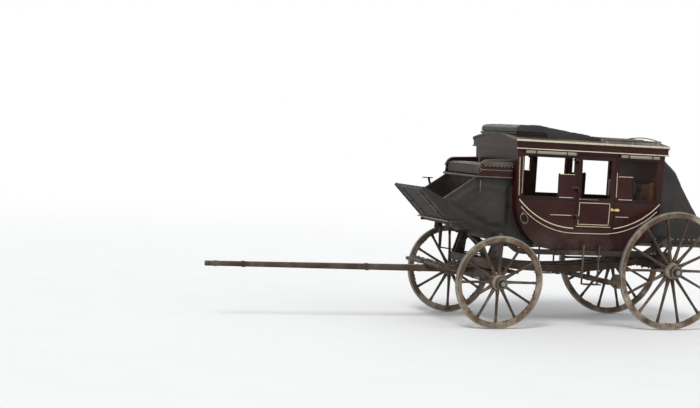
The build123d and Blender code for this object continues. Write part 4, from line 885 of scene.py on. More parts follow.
def timber(name, light, dark):
    coat = Coat(name)
    grain = coat.cloud(6.0, 8.0, (1.0, 14.0, 14.0), 0.6)
    colour = coat.mix(grain, dark, light)
    colour = dusted(coat, colour, 0.4, 2.5)
    return coat.lay(colour, 0.72, grain + coat.cloud(40.0) * 0.3, 0.0015, shine=0.3)


board_coat = timber("bare_timber", (0.13, 0.085, 0.050), (0.06, 0.038, 0.022))
paint_nodes(("floor", "bench_frames", "rear_boot_deck"), board_coat)
block_coat = timber("brake_wood", (0.080, 0.050, 0.030), (0.03, 0.020, 0.014))
paint_nodes(("brake_blocks",), block_coat)

# Roof: thin boards bent over hoops and covered with painted canvas. Its edge and a bead of the
# cornice are picked out in cream along the sides, and the frieze between them is left bare.

roof_low, roof_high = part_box("roof")
cornice_bead_z = 2.259


def roof_canvas():
    coat = Coat("roof_canvas")
    weave = coat.make("ShaderNodeTexWave", {"bands_direction": "X"}, {"Vector": coat.place(), "Scale": 160.0})
    woof = coat.make("ShaderNodeTexWave", {"bands_direction": "Y"}, {"Vector": coat.place(), "Scale": 160.0})
    colour = coat.mix(coat.cloud(3.0, 7.0), (0.035, 0.032, 0.030), (0.075, 0.068, 0.060))
    colour = dusted(coat, colour, 0.5, 1.8)
    return coat.lay(colour, 0.8, weave * 0.3 + woof * 0.3 + coat.cloud(5.0) * 1.5, 0.002, shine=0.3)


def along_roof(inset, z):
    """A line along each long side of the roof at a height, facing out."""
    x_low, x_high, y = roof_low.x + inset, roof_high.x - inset, roof_high.y - inset
    return [[((x_low, y, z), (0, 1, 0)), ((x_high, y, z), (0, 1, 0))],
            [((x_high, -y, z), (0, -1, 0)), ((x_low, -y, z), (0, -1, 0))]]


paint_nodes(("roof",), roof_canvas())
roof_lines = together(beading(along_roof(0.0, roof_low.z + 0.012), cream_coat, 0.024, 0.004, 0.002),
                      beading(along_roof(0.002, cornice_bead_z), cream_coat, 0.012, 0.003, 0.001))
fitted("roof_lines", roof_lines, cream_coat, "coach")

# Curtains: painted canvas lined with leather, rolled up tight and held under the cornice by
# two short straps each. Let down, they button over the window openings.

curtain_radius, curtain_core = 0.0235, 0.005
curtain_drop, curtain_inset = 0.520, 0.010
curtain_z = 2.220
curtain_steps, strap_places = 22, (0.2, 0.8)
binding_radius = curtain_radius - 0.0022


def canvas(name, colour, dust=0.3):
    coat = Coat(name)
    weave = coat.make("ShaderNodeTexWave", {"bands_direction": "X"}, {"Vector": coat.place(), "Scale": 210.0})
    woof = coat.make("ShaderNodeTexWave", {"bands_direction": "Z"}, {"Vector": coat.place(), "Scale": 210.0})
    shade = coat.mix(coat.cloud(6.0, 7.0), tuple(c * 0.6 for c in colour), colour)
    shade = dusted(coat, shade, dust, 4.0)
    return coat.lay(shade, 0.85, weave * 0.3 + woof * 0.3 + coat.cloud(16.0) * 1.2, 0.0012, shine=0.2)


curtain_canvas = canvas("curtain_canvas", (0.34, 0.31, 0.26))
turns_rolled = curtain_drop / (math.pi * (curtain_radius + curtain_core))
for side, hand in hands:
    centre_y = side * (belt_half - 0.010 + curtain_radius + 0.0012)
    for label, (x_from, x_to) in (("front", front_window), ("rear", rear_window)):
        wide = x_to - x_from - 2 * curtain_inset
        rows = []
        for k in range(37):
            x = x_from + curtain_inset + wide * k / 36
            apart = [(x - x_from - (x_to - x_from) * at) / 0.03 for at in strap_places]
            pinch = 0.0016 * sum(math.exp(-off ** 2) for off in apart)
            row = []
            for s in range(int(turns_rolled * curtain_steps) + 1):
                angle = 2 * math.pi * s / curtain_steps
                share = s / (turns_rolled * curtain_steps)
                r = curtain_core + (curtain_radius - 0.0016 - curtain_core) * share
                r += 0.0008 * share * noise.noise((x * 9, angle * 0.7, 3.1)) - pinch * share
                row.append(Vector((x, centre_y + side * r * math.sin(angle + 1.0),
                                   curtain_z + r * math.cos(angle + 1.0))))
            rows.append(row)
        roll = surface(rows, False, False, crease=80.0)
        area = sum(p.area for p in roll.polygons)
        piece = fitted(f"{hand}_{label}_curtain", roll, curtain_canvas, "coach",
                       ("curtain_rolls",))
        thick = piece.modifiers.new("cloth_thickness", "SOLIDIFY")
        thick.thickness = 0.0014
        thick.offset = 0.0
        area / wide
        bands = []
        for at in strap_places:
            x = x_from + (x_to - x_from) * at
            outs = [(math.sin(a), math.cos(a)) for a in (2 * math.pi * s / 28 for s in range(28))]
            bands.append([((x, centre_y + binding_radius * y, curtain_z + binding_radius * z), (0, y, z))
                          for y, z in outs])
        straps = beading(bands, strap_leather, 0.020, 0.0022, 0.0008, closed=True)
        fitted(f"{hand}_{label}_curtain_straps", straps, strap_leather, "coach")

# Boot sides: boards padded with hair under wrinkled harness leather, nailed along a piped
# edge. The stuffed field stands proud, and a flat border runs along the bottom and the dip.

boot_half, boot_board, boot_swell = 0.500, 0.025, 0.020
boot_start, boot_mid, boot_rise = Vector((-0.590, 1.003)), Vector((-0.170, 1.062)), Vector((0.200, 1.196))
boot_heel, boot_tip, cheek_dip = Vector((0.520, 1.255)), Vector((0.965, 1.700)), Vector((0.680, 1.587))
boot_cut = Vector((-0.026, 0.024))
seat_front, boot_top = 0.265, 1.865
boot_wall = cabin_front_x - front_axle_x
boot_field = ((0.640, 1.555), (0.268, 1.818), (-0.222, 1.818),
              (-0.222, 1.222), (0.060, 1.258), (0.330, 1.385))
piping_points = ((0.640, 1.568), (0.560, 1.470), (0.440, 1.360), (0.300, 1.292),
                 (0.150, 1.246), (-0.060, 1.212), (-0.236, 1.196))


def arc_height(x, start, middle, end):
    """Height at x of the arc through three (x, z) points, with its centre above them."""
    a, b = middle - start, end - start
    turn_by = 2 * (a.x * b.y - a.y * b.x)
    centre = start + Vector((b.y * a.length_squared - a.y * b.length_squared,
                             a.x * b.length_squared - b.x * a.length_squared)) / turn_by
    radius = (centre - start).length
    return centre.y - math.sqrt(radius ** 2 - (x - centre.x) ** 2)


def between(x, low, high):
    return low.y + (high.y - low.y) * (x - low.x) / (high.x - low.x)


def boot_bottom(x):
    if x < boot_rise.x:
        return arc_height(x, boot_start, boot_mid, boot_rise)
    return between(x, boot_rise, boot_heel) if x < boot_heel.x else between(x, boot_heel, boot_tip)


def tub_under(past):
    """Height of the cabin's rounded underside, this far along from the tub's centre."""
    return tub_centre - math.sqrt(max(0.0, tub_radius ** 2 - past * past))


def boot_upper(x):
    if x < boot_wall:
        return tub_under(x - boot_wall + tub_radius)
    if x < boot_wall + 0.012:
        return tub_centre + (boot_top - tub_centre) * (x - boot_wall) / 0.012
    if x < seat_front:
        return boot_top
    if x < cheek_dip.x:
        return between(x, Vector((seat_front, boot_top)), cheek_dip)
    return between(x, cheek_dip, boot_tip + boot_cut)


def field_depth(x, z):
    """How far a point of the side lies inside the stuffed field."""
    depth = 1.0
    for (ax, az), (bx, bz) in zip(boot_field, boot_field[1:] + boot_field[:1]):
        edge = Vector((bx - ax, bz - az)).normalized()
        depth = min(depth, (z - az) * edge.x - (x - ax) * edge.y)
    return depth


def soft_step(value):
    value = min(1.0, max(0.0, value))
    return value * value * (3 - 2 * value)


def cheek_out(x, z):
    """How far the leather of the side stands off the board, with its folds."""
    swell = soft_step(field_depth(x, z) / 0.075)
    fold = noise.fractal((x * 5.5 + z * 2.5, z * 9.0, 4.0), 0.9, 2.1, 4) * 0.0045
    drag = math.sin((x * 0.8 + z) * 26 + 5 * noise.noise((x * 2.4, z * 2.4, 8.0))) * 0.0016
    return 0.0010 + swell * (boot_swell * 0.88 + fold + drag) + (1 - swell) * fold * 0.25


def on_cheek(x, z, side, proud):
    """A spot this far off the leather of one side, with the way it faces."""
    return (front_axle_x + x, side * (boot_half + cheek_out(x, z) + proud), z), (0, side, 0)


def along_top(count, start, length):
    """Distances along the side's sloping top edge, with the heights of its nails and iron."""
    return [(x, boot_upper(x) - 0.012) for x in (start + length * k / (count - 1) for k in range(count))]


for side, hand in hands:
    columns, tall = 150, 56
    x_low, x_high = boot_start.x, boot_tip.x + boot_cut.x
    outer, inner = [], []
    for i in range(columns + 1):
        x = x_low + (x_high - x_low) * i / columns
        low, high = boot_bottom(x), max(boot_upper(x), boot_bottom(x) + 0.004)
        outer.append([])
        inner.append([])
        for j in range(tall + 1):
            z = low + (high - low) * j / tall
            rim = min(j, tall - j, 3) / 3
            y = boot_half + cheek_out(x, z) * rim
            outer[-1].append(Vector((front_axle_x + x, side * y, z)))
            inner[-1].append(Vector((front_axle_x + x, side * (boot_half - boot_board), z)))
    rows = [a + b[::-1] for a, b in zip(outer, inner)]
    cheek = surface(rows, crease=50.0)
    piece = fitted(f"{hand}_boot_side", cheek, boot_leather, "coach", ("boot_cheeks",))
    ridge = []
    for offset in (0.0, -0.030):
        line = []
        for (ax, az), (bx, bz) in zip(piping_points, piping_points[1:]):
            for k in range(8):
                x, z = ax + (bx - ax) * k / 8, az + (bz - az) * k / 8 + offset
                if z > boot_bottom(x) + 0.008:
                    line.append(on_cheek(x, z, side, 0.0005))
        ridge.append(line)
    slope = along_top(25, seat_front + 0.010, cheek_dip.x - seat_front - 0.010)
    top = [on_cheek(x, z, side, 0.0005) for x, z in slope]
    piping = together(beading(ridge, boot_leather, 0.009, 0.006, 0.003),
                      beading([top], worn_iron, 0.012, 0.005, 0.002))
    fitted(f"{hand}_boot_piping", piping, strap_leather, "coach")


# Cushions: leather covers stuffed tight with hair, piped round the top and bottom edges and
# held down by rows of leather buttons. Cloth simulation swells each from its cut box.


def box_mesh(low, high, inset=0.0):
    block = bmesh.new()
    bmesh.ops.create_cube(block, size=1.0)
    low, high = Vector(low) + Vector((inset,) * 3), Vector(high) - Vector((inset,) * 3)
    for vert in block.verts:
        vert.co = Vector((low[k] + (high[k] - low[k]) * (vert.co[k] + 0.5)) for k in range(3))
    mesh = bpy.data.meshes.new("box")
    block.to_mesh(mesh)
    block.free()
    return mesh


def stuffed(mesh, voxel, travel, floor_z, pressure=4.0):
    """The mesh remeshed and swelled as a stuffed cover, each point moved no further than travel."""
    bench = bpy.data.objects.new("bench", mesh)
    scene.collection.objects.link(bench)
    remesh = bench.modifiers.new("skin", "REMESH")
    remesh.mode = "VOXEL"
    remesh.voxel_size = voxel
    bench.data = bpy.data.meshes.new_from_object(bench.evaluated_get(bpy.context.evaluated_depsgraph_get()))
    bench.modifiers.clear()
    start = [vert.co.copy() for vert in bench.data.vertices]
    cloth = bench.modifiers.new("fill", "CLOTH")
    cloth.settings.quality = 4
    cloth.settings.mass = 0.25
    cloth.settings.tension_stiffness = 12
    cloth.settings.bending_stiffness = 0.8
    cloth.settings.use_pressure = True
    cloth.settings.uniform_pressure_force = pressure
    cloth.settings.effector_weights.gravity = 0.0
    cloth.collision_settings.use_collision = False
    cloth.point_cache.frame_start, cloth.point_cache.frame_end = 1, 20
    for number in range(1, 21):
        scene.frame_set(number)
    swelled = bpy.data.meshes.new_from_object(bench.evaluated_get(bpy.context.evaluated_depsgraph_get()))
    bench.modifiers.clear()
    scene.frame_set(1)
    for vert, old, new in zip(bench.data.vertices, start, swelled.vertices):
        move = new.co - old
        vert.co = old + (move * (travel / move.length) if move.length > travel else move)
    subdivide = bench.modifiers.new("fine", "SUBSURF")
    subdivide.levels = subdivide.render_levels = 1
    fine = bpy.data.meshes.new_from_object(bench.evaluated_get(bpy.context.evaluated_depsgraph_get()))
    bpy.data.objects.remove(bench)
    for vert in fine.vertices:
        vert.co.z = max(vert.co.z, floor_z)
    return fine


def buttoned(mesh, buttons, facing, depth=0.016, spread=0.045):
    """Draws the face of a cushion in at each button, with a crease towards its neighbours."""
    facing = Vector(facing)
    normals = [vert.normal.copy() for vert in mesh.vertices]
    for vert, normal in zip(mesh.vertices, normals):
        if normal.dot(facing) < 0.2:
            continue
        pull = 0.0
        for button in buttons:
            apart = vert.co - Vector(button)
            apart -= facing * apart.dot(facing)
            reach = apart.length
            if reach < 4 * spread:
                ridged = 1 + 0.35 * abs(math.cos(2 * math.atan2(apart.y, apart.x + apart.z)))
                pull = max(pull, math.exp(-(reach / (spread * ridged)) ** 1.3))
        vert.co -= facing * depth * pull
    mesh.update()


def face_tree(mesh):
    """The mesh's faces, ready to be met by lines."""
    faces = [face.vertices[:] for face in mesh.polygons]
    return BVHTree.FromPolygons([vert.co for vert in mesh.vertices], faces)


def on_surface(tree, start, towards):
    """Where a line first meets the faces, and the facing there."""
    spot, facing, _, _ = tree.ray_cast(Vector(start), Vector(towards))
    return (spot, facing) if spot else (Vector(start), -Vector(towards))


def cushion(name, low, high, voxel, travel, finish, stands_for, buttons=(), facing=(0, 0, 1), inset=0.006):
    """One stuffed cushion in its box, with buttons and piping round both faces."""
    mesh = stuffed(box_mesh(low, high, inset), voxel, travel, low[2] + 0.0005)
    facing = Vector(facing)
    if buttons:
        buttoned(mesh, buttons, facing)
    mesh.shade_smooth()
    tree = face_tree(mesh)
    middle = (Vector(low) + Vector(high)) / 2
    across = [k for k in range(3) if abs(facing[k]) < 0.5]
    normal = [k for k in range(3) if abs(facing[k]) > 0.5][0]
    half = [(high[k] - low[k]) / 2 for k in across]
    rims = []
    for level in (high[normal] - 0.016, low[normal] + 0.016):
        rim = []
        for s in range(96):
            a = 2 * math.pi * s / 96
            c, d = math.cos(a), math.sin(a)
            stretch = 1.0 / max(abs(c), abs(d))
            spot = middle.copy()
            spot[normal] = level
            spot[across[0]] += half[0] * c * stretch * 1.3
            spot[across[1]] += half[1] * d * stretch * 1.3
            aim = Vector((0, 0, 0))
            aim[across[0]] = -c * stretch * half[0]
            aim[across[1]] = -d * stretch * half[1]
            hit, out = on_surface(tree, spot, aim.normalized())
            rim.append((hit - out * 0.002, out))
        rims.append(rim)
    trims = [beading(rims, finish, 0.009, 0.007, 0.0034, closed=True)]
    if buttons:
        studs = []
        for button in buttons:
            hit, out = on_surface(tree, Vector(button) + facing * 0.4, -facing)
            studs.append([(hit + facing * 0.0015, tuple(facing))])
        trims.append(heads_on(studs, finish, 0.011, 0.006, 0.6, 10))
    piece = fitted(name, mesh, finish, "coach", (stands_for,))
    fitted(f"{name}_trim", together(*trims), finish, "coach")


seat_z, cushion_tall, bench_half = 1.385, 0.092, 0.590
back_thick, back_tall = 0.080, 0.430
for label, wall_x, facing in (("rear", cabin_rear_x + 0.030, 1), ("front", cabin_front_x - 0.030, -1)):
    far = wall_x + facing * 0.440
    near = wall_x + facing * 0.006
    x_low, x_high = sorted((near, far))
    spots = [((x_low + x_high) / 2 + dx, y, seat_z + cushion_tall) for dx in (-0.11, 0.11)
             for y in (-0.44, -0.22, 0.0, 0.22, 0.44)]
    cushion(f"{label}_bench_seat", (x_low, -bench_half, seat_z), (x_high, bench_half, seat_z + cushion_tall),
            0.014, 0.018, lining_leather, "bench_cushions", spots)
    x_low, x_high = sorted((wall_x, wall_x + facing * back_thick))
    back_low = seat_z + cushion_tall + 0.002
    spots = [(x_high if facing > 0 else x_low, y, back_low + dz) for dz, ys in
             ((0.14, (-0.44, -0.22, 0.0, 0.22, 0.44)), (0.29, (-0.33, -0.11, 0.11, 0.33))) for y in ys]
    cushion(f"{label}_bench_back", (x_low, -bench_half, back_low), (x_high, bench_half, back_low + back_tall),
            0.014, 0.016, lining_leather, "bench_cushions", spots, (facing, 0, 0))
door_mid_x = (door_rear_x + door_front_x) / 2
cushion("middle_bench_seat", (door_mid_x - 0.112, -0.535, 1.400), (door_mid_x + 0.112, 0.535, 1.446),
        0.011, 0.010, lining_leather, "bench_cushions",
        [(door_mid_x, y, 1.446) for y in (-0.36, -0.12, 0.12, 0.36)], inset=0.004)
seat_low, seat_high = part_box("driver_cushion")
seat_mid_x = (seat_low.x + seat_high.x) / 2
cushion("driver_cushion_cover", seat_low, seat_high, 0.013, 0.020, seat_leather, "driver_cushion",
        [(seat_mid_x + dx, y, seat_high.z) for dx in (-0.12, 0.12) for y in (-0.36, -0.12, 0.12, 0.36)])

# Roof seat: a wedge of padded leather that slopes back from the front of the roof to the
# middle, nailed to its board and piped along both edges.

wedge = bmesh.new()
wedge.from_mesh(nodes["deck_cushion"].data)
bmesh.ops.remove_doubles(wedge, verts=wedge.verts, dist=1e-5)
# The thin rear of the wedge is tucked under the roof's surface, so that its edge stays whole
wedge.normal_update()
tuck = 0.014
for vert in wedge.verts:
    if vert.normal.z < 0.1 and vert.co.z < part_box("roof")[1].z + 0.002:
        vert.co.z -= tuck
wedge_mesh = bpy.data.meshes.new("wedge")
wedge.to_mesh(wedge_mesh)
wedge.free()
wedge_low, wedge_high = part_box("deck_cushion")
deck_cover = stuffed(wedge_mesh, 0.012, 0.009, wedge_low.z - tuck, 2.5)
deck_normals = [vert.normal.copy() for vert in deck_cover.vertices]
for vert, normal in zip(deck_cover.vertices, deck_normals):
    spot = vert.co
    if normal.z > 0.3:
        vert.co.z += 0.006 * noise.fractal((spot.x * 4, spot.y * 4, 2.0), 0.9, 2.0, 4) - 0.004
        vert.co.z -= 0.007 * math.exp(-(((spot.x - wedge_low.x) % 0.30 - 0.15) / 0.014) ** 2)
deck_cover.update()
deck_cover.shade_smooth()
deck_tree = face_tree(deck_cover)
deck_piece = fitted("deck_cushion_cover", deck_cover, boot_leather, "coach",
                    ("deck_cushion",))
deck_rims = []
for side in (-1, 1):
    rim = []
    for k in range(60):
        x = wedge_low.x + 0.03 + (wedge_high.x - wedge_low.x - 0.05) * k / 59
        hit, out = on_surface(deck_tree, (x, side * (wedge_high.y - 0.016), 2.8), (0, 0, -1))
        rim.append((hit - out * 0.002, out))
    deck_rims.append(rim)
fitted("deck_cushion_piping", beading(deck_rims, worn_iron, 0.012, 0.008, 0.004),
       strap_leather, "coach")

# Rear boot: harness leather drawn from the roof's rear edge over the deck and laced to the deck's
# edge. It bellies between the straps and creases down from the roof to the corners.

cover_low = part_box("rear_boot_cover")[0]
deck_z = 1.100
cover_profile = ((cover_low.x, deck_z + 0.090), (rear_axle_x - 0.480, 1.560), (rear_axle_x - 0.150, 2.060),
                 (roof_low.x - 0.002, 2.258))
cover_half = 0.500
cover_front_x, taut_x = -2.300, -2.470
belly_half, belly_tall = 0.480, 1.150
lash_places = (-0.27, 0.27)


def cover_top(x):
    for (ax, az), (bx, bz) in zip(cover_profile, cover_profile[1:]):
        if x <= bx:
            return az + (bz - az) * (x - ax) / (bx - ax)
    return cover_profile[-1][1]


def cover_arch(x):
    """Half of the cover's cross-section at x: from the middle of the top out and down one side."""
    low = deck_z + 0.002 + 0.088 * max(0.0, 1 - (x - cover_low.x) / 0.020)
    top, past = cover_top(x), cabin_rear_x + tub_radius - x
    if past < tub_radius:
        top = min(top, tub_under(past) - 0.004)
    top = max(top, low + 0.010)
    bend = min(0.055, (top - low) * 0.45)
    half = [((cover_half - bend) * k / 22, top) for k in range(23)]
    for k in range(1, 7):
        a = math.pi / 2 * k / 7
        half.append((cover_half - bend + bend * math.sin(a), top - bend + bend * math.cos(a)))
    half += [(cover_half, top - bend - (top - bend - low) * k / 22) for k in range(23)]
    return half


cover_rows = []
tail = cover_arch(cover_low.x + 0.002)
tail = [(-y, z) for y, z in tail[::-1]] + tail[1:]
for k in range(6):
    rise, x = k / 6, cover_low.x + 0.001 + 0.018 * (1 - k / 6)
    cover_rows.append([Vector((x, y, deck_z + 0.002 + (z - deck_z - 0.002) * rise)) for y, z in tail])
for k in range(97):
    x = cover_low.x + 0.002 + (cover_front_x - cover_low.x) * (k / 96) ** 1.15
    arch = cover_arch(x)
    cover_rows.append([Vector((x, -y, z)) for y, z in arch[::-1]] + [Vector((x, y, z)) for y, z in arch[1:]])
cover_mesh = surface(cover_rows, False, False, crease=70.0)
cover_normals = [vert.normal.copy() for vert in cover_mesh.vertices]
for vert, facing in zip(cover_mesh.vertices, cover_normals):
    spot = vert.co.copy()
    if facing.z < -0.2:
        facing = -facing
    slack = soft_step((spot.z - deck_z) / 0.10) * soft_step((taut_x - spot.x) / 0.06)
    drag = noise.fractal((spot.x * 2.2, spot.y * 7.0 + spot.x, spot.z * 3.0), 0.9, 2.0, 5) * 0.011
    belly = math.cos(min(1.0, abs(spot.y) / belly_half) * math.pi / 2)
    sag = 0.014 * belly * math.sin((spot.z - deck_z) / belly_tall * math.pi) ** 2
    pull = sum(math.exp(-((spot.y - y) / 0.045) ** 2) for y in lash_places) * 0.007 * (abs(facing.y) < 0.7)
    vert.co = spot + facing * ((drag - sag - pull) * slack)
cover_mesh.update()
if cover_mesh.polygons[48 * 60].normal.z < 0:
    cover_mesh.flip_normals()
cover_tree = face_tree(cover_mesh)
cover_piece = fitted("rear_boot_leather", cover_mesh, boot_leather, "coach",
                     ("rear_boot_cover",))
hide_thickness = cover_piece.modifiers.new("hide_thickness", "SOLIDIFY")
hide_thickness.thickness = 0.004
hide_thickness.offset = -1.0
lashes, buckles = [], []
for y in lash_places:
    line = []
    for k in range(70):
        share = k / 69
        x = roof_low.x - 0.006 + (cover_low.x + 0.012 - roof_low.x) * share
        z = cover_top(x)
        out = Vector((-abs(cover_top(x - 0.01) - z), 0, 0.01)).normalized()
        hit, facing = on_surface(cover_tree, Vector((x, y, z)) + out * 0.3, -out)
        line.append((hit + out * 0.0015, out))
    lashes.append(line)
    middle, out = line[46]
    along = (line[50][0] - line[42][0]).normalized()
    corners = [(a, b) for a in (-0.022, 0.022) for b in (-0.026, 0.026)]
    bars = [(corners[one], corners[two]) for one, two in ((0, 1), (2, 3), (0, 2), (1, 3))]
    for ends in bars + [((0, 0), (0.026, 0))]:
        buckles.append([(middle + along * a + Vector((0, b, 0)) + out * 0.005, out) for a, b in ends])
rubbed_leather = leather("rubbed_leather", (0.050, 0.042, 0.035), 0.50, 0.9, 0.12, 0.30)
lash_mesh = beading(lashes, rubbed_leather, 0.040, 0.006, 0.0015)
fitted("rear_boot_straps", lash_mesh, rubbed_leather, "coach")
fitted("rear_boot_buckles", beading(buckles, worn_iron, 0.006, 0.006, 0.002),
       worn_iron, "coach")

# Gear bolts: square-headed bolts go down through every crossing of the gear and are nutted
# over washers below. Round-headed ones hold the standards' feet and the brake's wood.


def struck(name, starts, towards):
    """Where lines in one direction first meet a CAD node, each spot with its facing."""
    node = nodes[name]
    spots = [node.matrix_world @ vert.co for vert in node.data.vertices]
    tree = BVHTree.FromPolygons(spots, [face.vertices[:] for face in node.data.polygons])
    found = []
    for start in starts:
        spot, facing, _, _ = tree.ray_cast(Vector(start), Vector(towards))
        if spot:
            found.append([(spot, facing)])
    return found


def bolts(spots, finish, radius=0.011, height=0.009, sides=4, washer=1.6):
    """Bolt heads on their washers at the spots, as one mesh."""
    low = [[(point + facing * 0.0012, facing)] for [(point, facing)] in spots]
    high = [[(point + facing * (0.0024 + height / 2), facing)] for [(point, facing)] in spots]
    return together(
        heads_on(low, finish, radius * washer, 0.0030, 0.96, 16),
        heads_on(high, finish, radius, height, 0.88, sides))


def places(xs, ys, zs):
    return [(x, y, z) for x in xs for y in ys for z in zs]


def banded(centre, across, lift, half_across, half_lift, finish, width=0.030, height=0.004):
    """A flat iron band round a bar: the bar's cross-section is given by two directions."""
    centre, across, lift = Vector(centre), Vector(across), Vector(lift)
    bands = []
    for face, other, near, far in ((across, lift, half_across, half_lift),
                                   (lift, across, half_lift, half_across)):
        for side in (1, -1):
            edge = other * (far + height)
            spot = centre + face * (side * near)
            bands.append([(spot - edge, face * side), (spot + edge, face * side)])
    return beading(bands, finish, width, height, 0.001)


down, up = (0, 0, -1), (0, 0, 1)
perch_ys, perch_bolts = (-0.270, 0.0, 0.270), (-0.32, -0.44, -2.05, -2.22)
bolster_x = front_axle_x - 0.010
fixed = struck("front_bolster", places((bolster_x - 0.045, bolster_x + 0.045), (-0.40, 0.40), (1.0,)), down)
fixed += struck("front_bolster", places((bolster_x,), (-0.46, 0.46), (0.5,)), up)
fixed += struck("rear_bed", places((rear_axle_x,), (-0.50, -0.33, 0.33, 0.50), (1.4,)), down)
fixed += struck("perches", places(perch_bolts, perch_ys, (1.4,)), down)
fixed += struck("perches", places(perch_bolts, perch_ys, (0.3,)), up)
for name, middle_x in (("front_standards", bolster_x), ("rear_standards", rear_axle_x)):
    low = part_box(name)[0].z
    for side in (1, -1):
        feet = [(middle_x + dx, side * 0.9, low + dz)
                for dx, dz in ((-0.032, 0.032), (0.032, 0.032), (0.0, 0.10))]
        fixed += struck(name, feet, (0, -side, 0))
        fixed += struck(name, [(x, side * 0.2, z) for x, _, z in feet], (0, side, 0))
fitted("gear_bolts", bolts(fixed, black_iron), black_iron, "coach")
perch_bands = []
for x, z in ((-0.270, 0.7905), (rear_axle_x + 0.085, 0.868)):
    perch_bands += [banded((x, y, z), (0, 1, 0), up, 0.031, 0.043, black_iron) for y in perch_ys]
fitted("perch_bands", together(*perch_bands), black_iron, "coach")

# Pins of the thoroughbraces: each goes through both cheeks of its standard, with a large
# nut and washer outside. Leather keepers bind the eight thicknesses together.

nut_outside, nut_inside = 0.618, 0.502
keeper_xs = (-0.72, -1.05, -2.00, -2.22)
pin_nuts = []
for pin in (front_pin, rear_pin):
    for side in (1, -1):
        for y, way in ((nut_outside, side), (nut_inside, -side)):
            pin_nuts.append([(Vector((pin.x, side * y, pin.y)), Vector((0, way, 0)))])
fitted("strap_pin_nuts", bolts(pin_nuts, worn_iron, 0.021, 0.012, 6, 1.45), worn_iron, "coach")
strap_middle_z = strap_low + strap_depth / 2
for side, hand in hands:
    keepers = [banded((x, side * strap_y, strap_middle_z), (0, 1, 0), up, strap_half_width + 0.001,
                      strap_depth / 2, strap_leather, 0.045, 0.005) for x in keeper_xs]
    fitted(f"{hand}_strap_keepers", together(*keepers), strap_leather, "coach")

# Draught irons: the splinter bar is strapped to the futchells, and each swingletree turns on a
# clip at its middle, with ferrules shrunk on its ends. Three bands hold the pole.

bar_x, bar_z = 0.447, 0.735
swing_x, pole_z = 0.532, 0.664
bar_bolts = (-0.54, -0.40, -0.075, 0.0, 0.075, 0.40, 0.54)
bed_bolts = (front_axle_x - 0.030, front_axle_x + 0.030)
turning = struck("splinter_bar", places((bar_x,), bar_bolts, (1.0,)), down)
turning += struck("futchells", places((0.10, -0.02), (-0.078, 0.078), (1.0,)), down)
turning += struck("splinter_bar", places((bar_x,), (-0.54, -0.40, 0.40, 0.54), (0.5,)), up)
turning += struck("front_bed", places(bed_bolts, (-0.43, 0.43), (0.716,)), down)
draught = [bolts(turning, black_iron)]
for side in (1, -1):
    for y, width in ((0.320, 0.044), (0.590, 0.034)):
        draught.append(banded((bar_x, side * y, bar_z), (1, 0, 0), up, 0.037, 0.031, black_iron, width))
    rings = [[((swing_x + radius * math.cos(a), side * y, bar_z + radius * math.sin(a)),
               (math.cos(a), 0, math.sin(a))) for a in (2 * math.pi * k / 24 for k in range(24))]
             for y, radius in ((0.092, 0.0215), (0.320, 0.0235), (0.548, 0.0215))]
    draught.append(beading(rings, black_iron, 0.034, 0.0030, 0.001, closed=True))
    hooks = [[((swing_x + 0.020 + 0.016 * math.sin(a), side * y, bar_z - 0.011 + 0.017 * math.cos(a)),
               (math.sin(a), 0, math.cos(a))) for a in (math.pi * k / 12 for k in range(13))]
             for y in (0.112, 0.528)]
    draught.append(beading(hooks, worn_iron, 0.009, 0.005, 0.002))
for x, half in ((0.60, 0.0455), (1.30, 0.0420), (2.90, 0.0335)):
    draught.append(banded((x, 0, pole_z), (0, 1, 0), up, half, min(half, 0.040), black_iron, 0.036, 0.003))
fitted("draught_irons", together(*draught), black_iron, "front_carriage")

# Brake: the wooden blocks are bolted to the ends of an ash beam. Iron bands keep the beam from
# splitting, and four more bolts go through it from the front.

brake_z, beam_x, block_x = 0.612, -1.688, -1.765
brake = []
for side in (-1, 1):
    brake += struck("brake_blocks", places((block_x,), (side,), (0.575, 0.675)), (0, -side, 0))
brake += struck("brake_beam", places((-1.5,), (-0.60, -0.20, 0.20, 0.60), (brake_z,)), (-1, 0, 0))
brake_irons = [bolts(brake, black_iron)]
for y in (-0.74, -0.30, 0.30, 0.74):
    brake_irons.append(banded((beam_x, y, brake_z), (1, 0, 0), up, 0.031, 0.030, black_iron))
fitted("brake_irons", together(*brake_irons), black_iron, "coach")

# Door fittings: three butt hinges screwed through the narrow stile, a brass rose behind the
# handle and a keeper plate on the post that the handle's tip turns over.

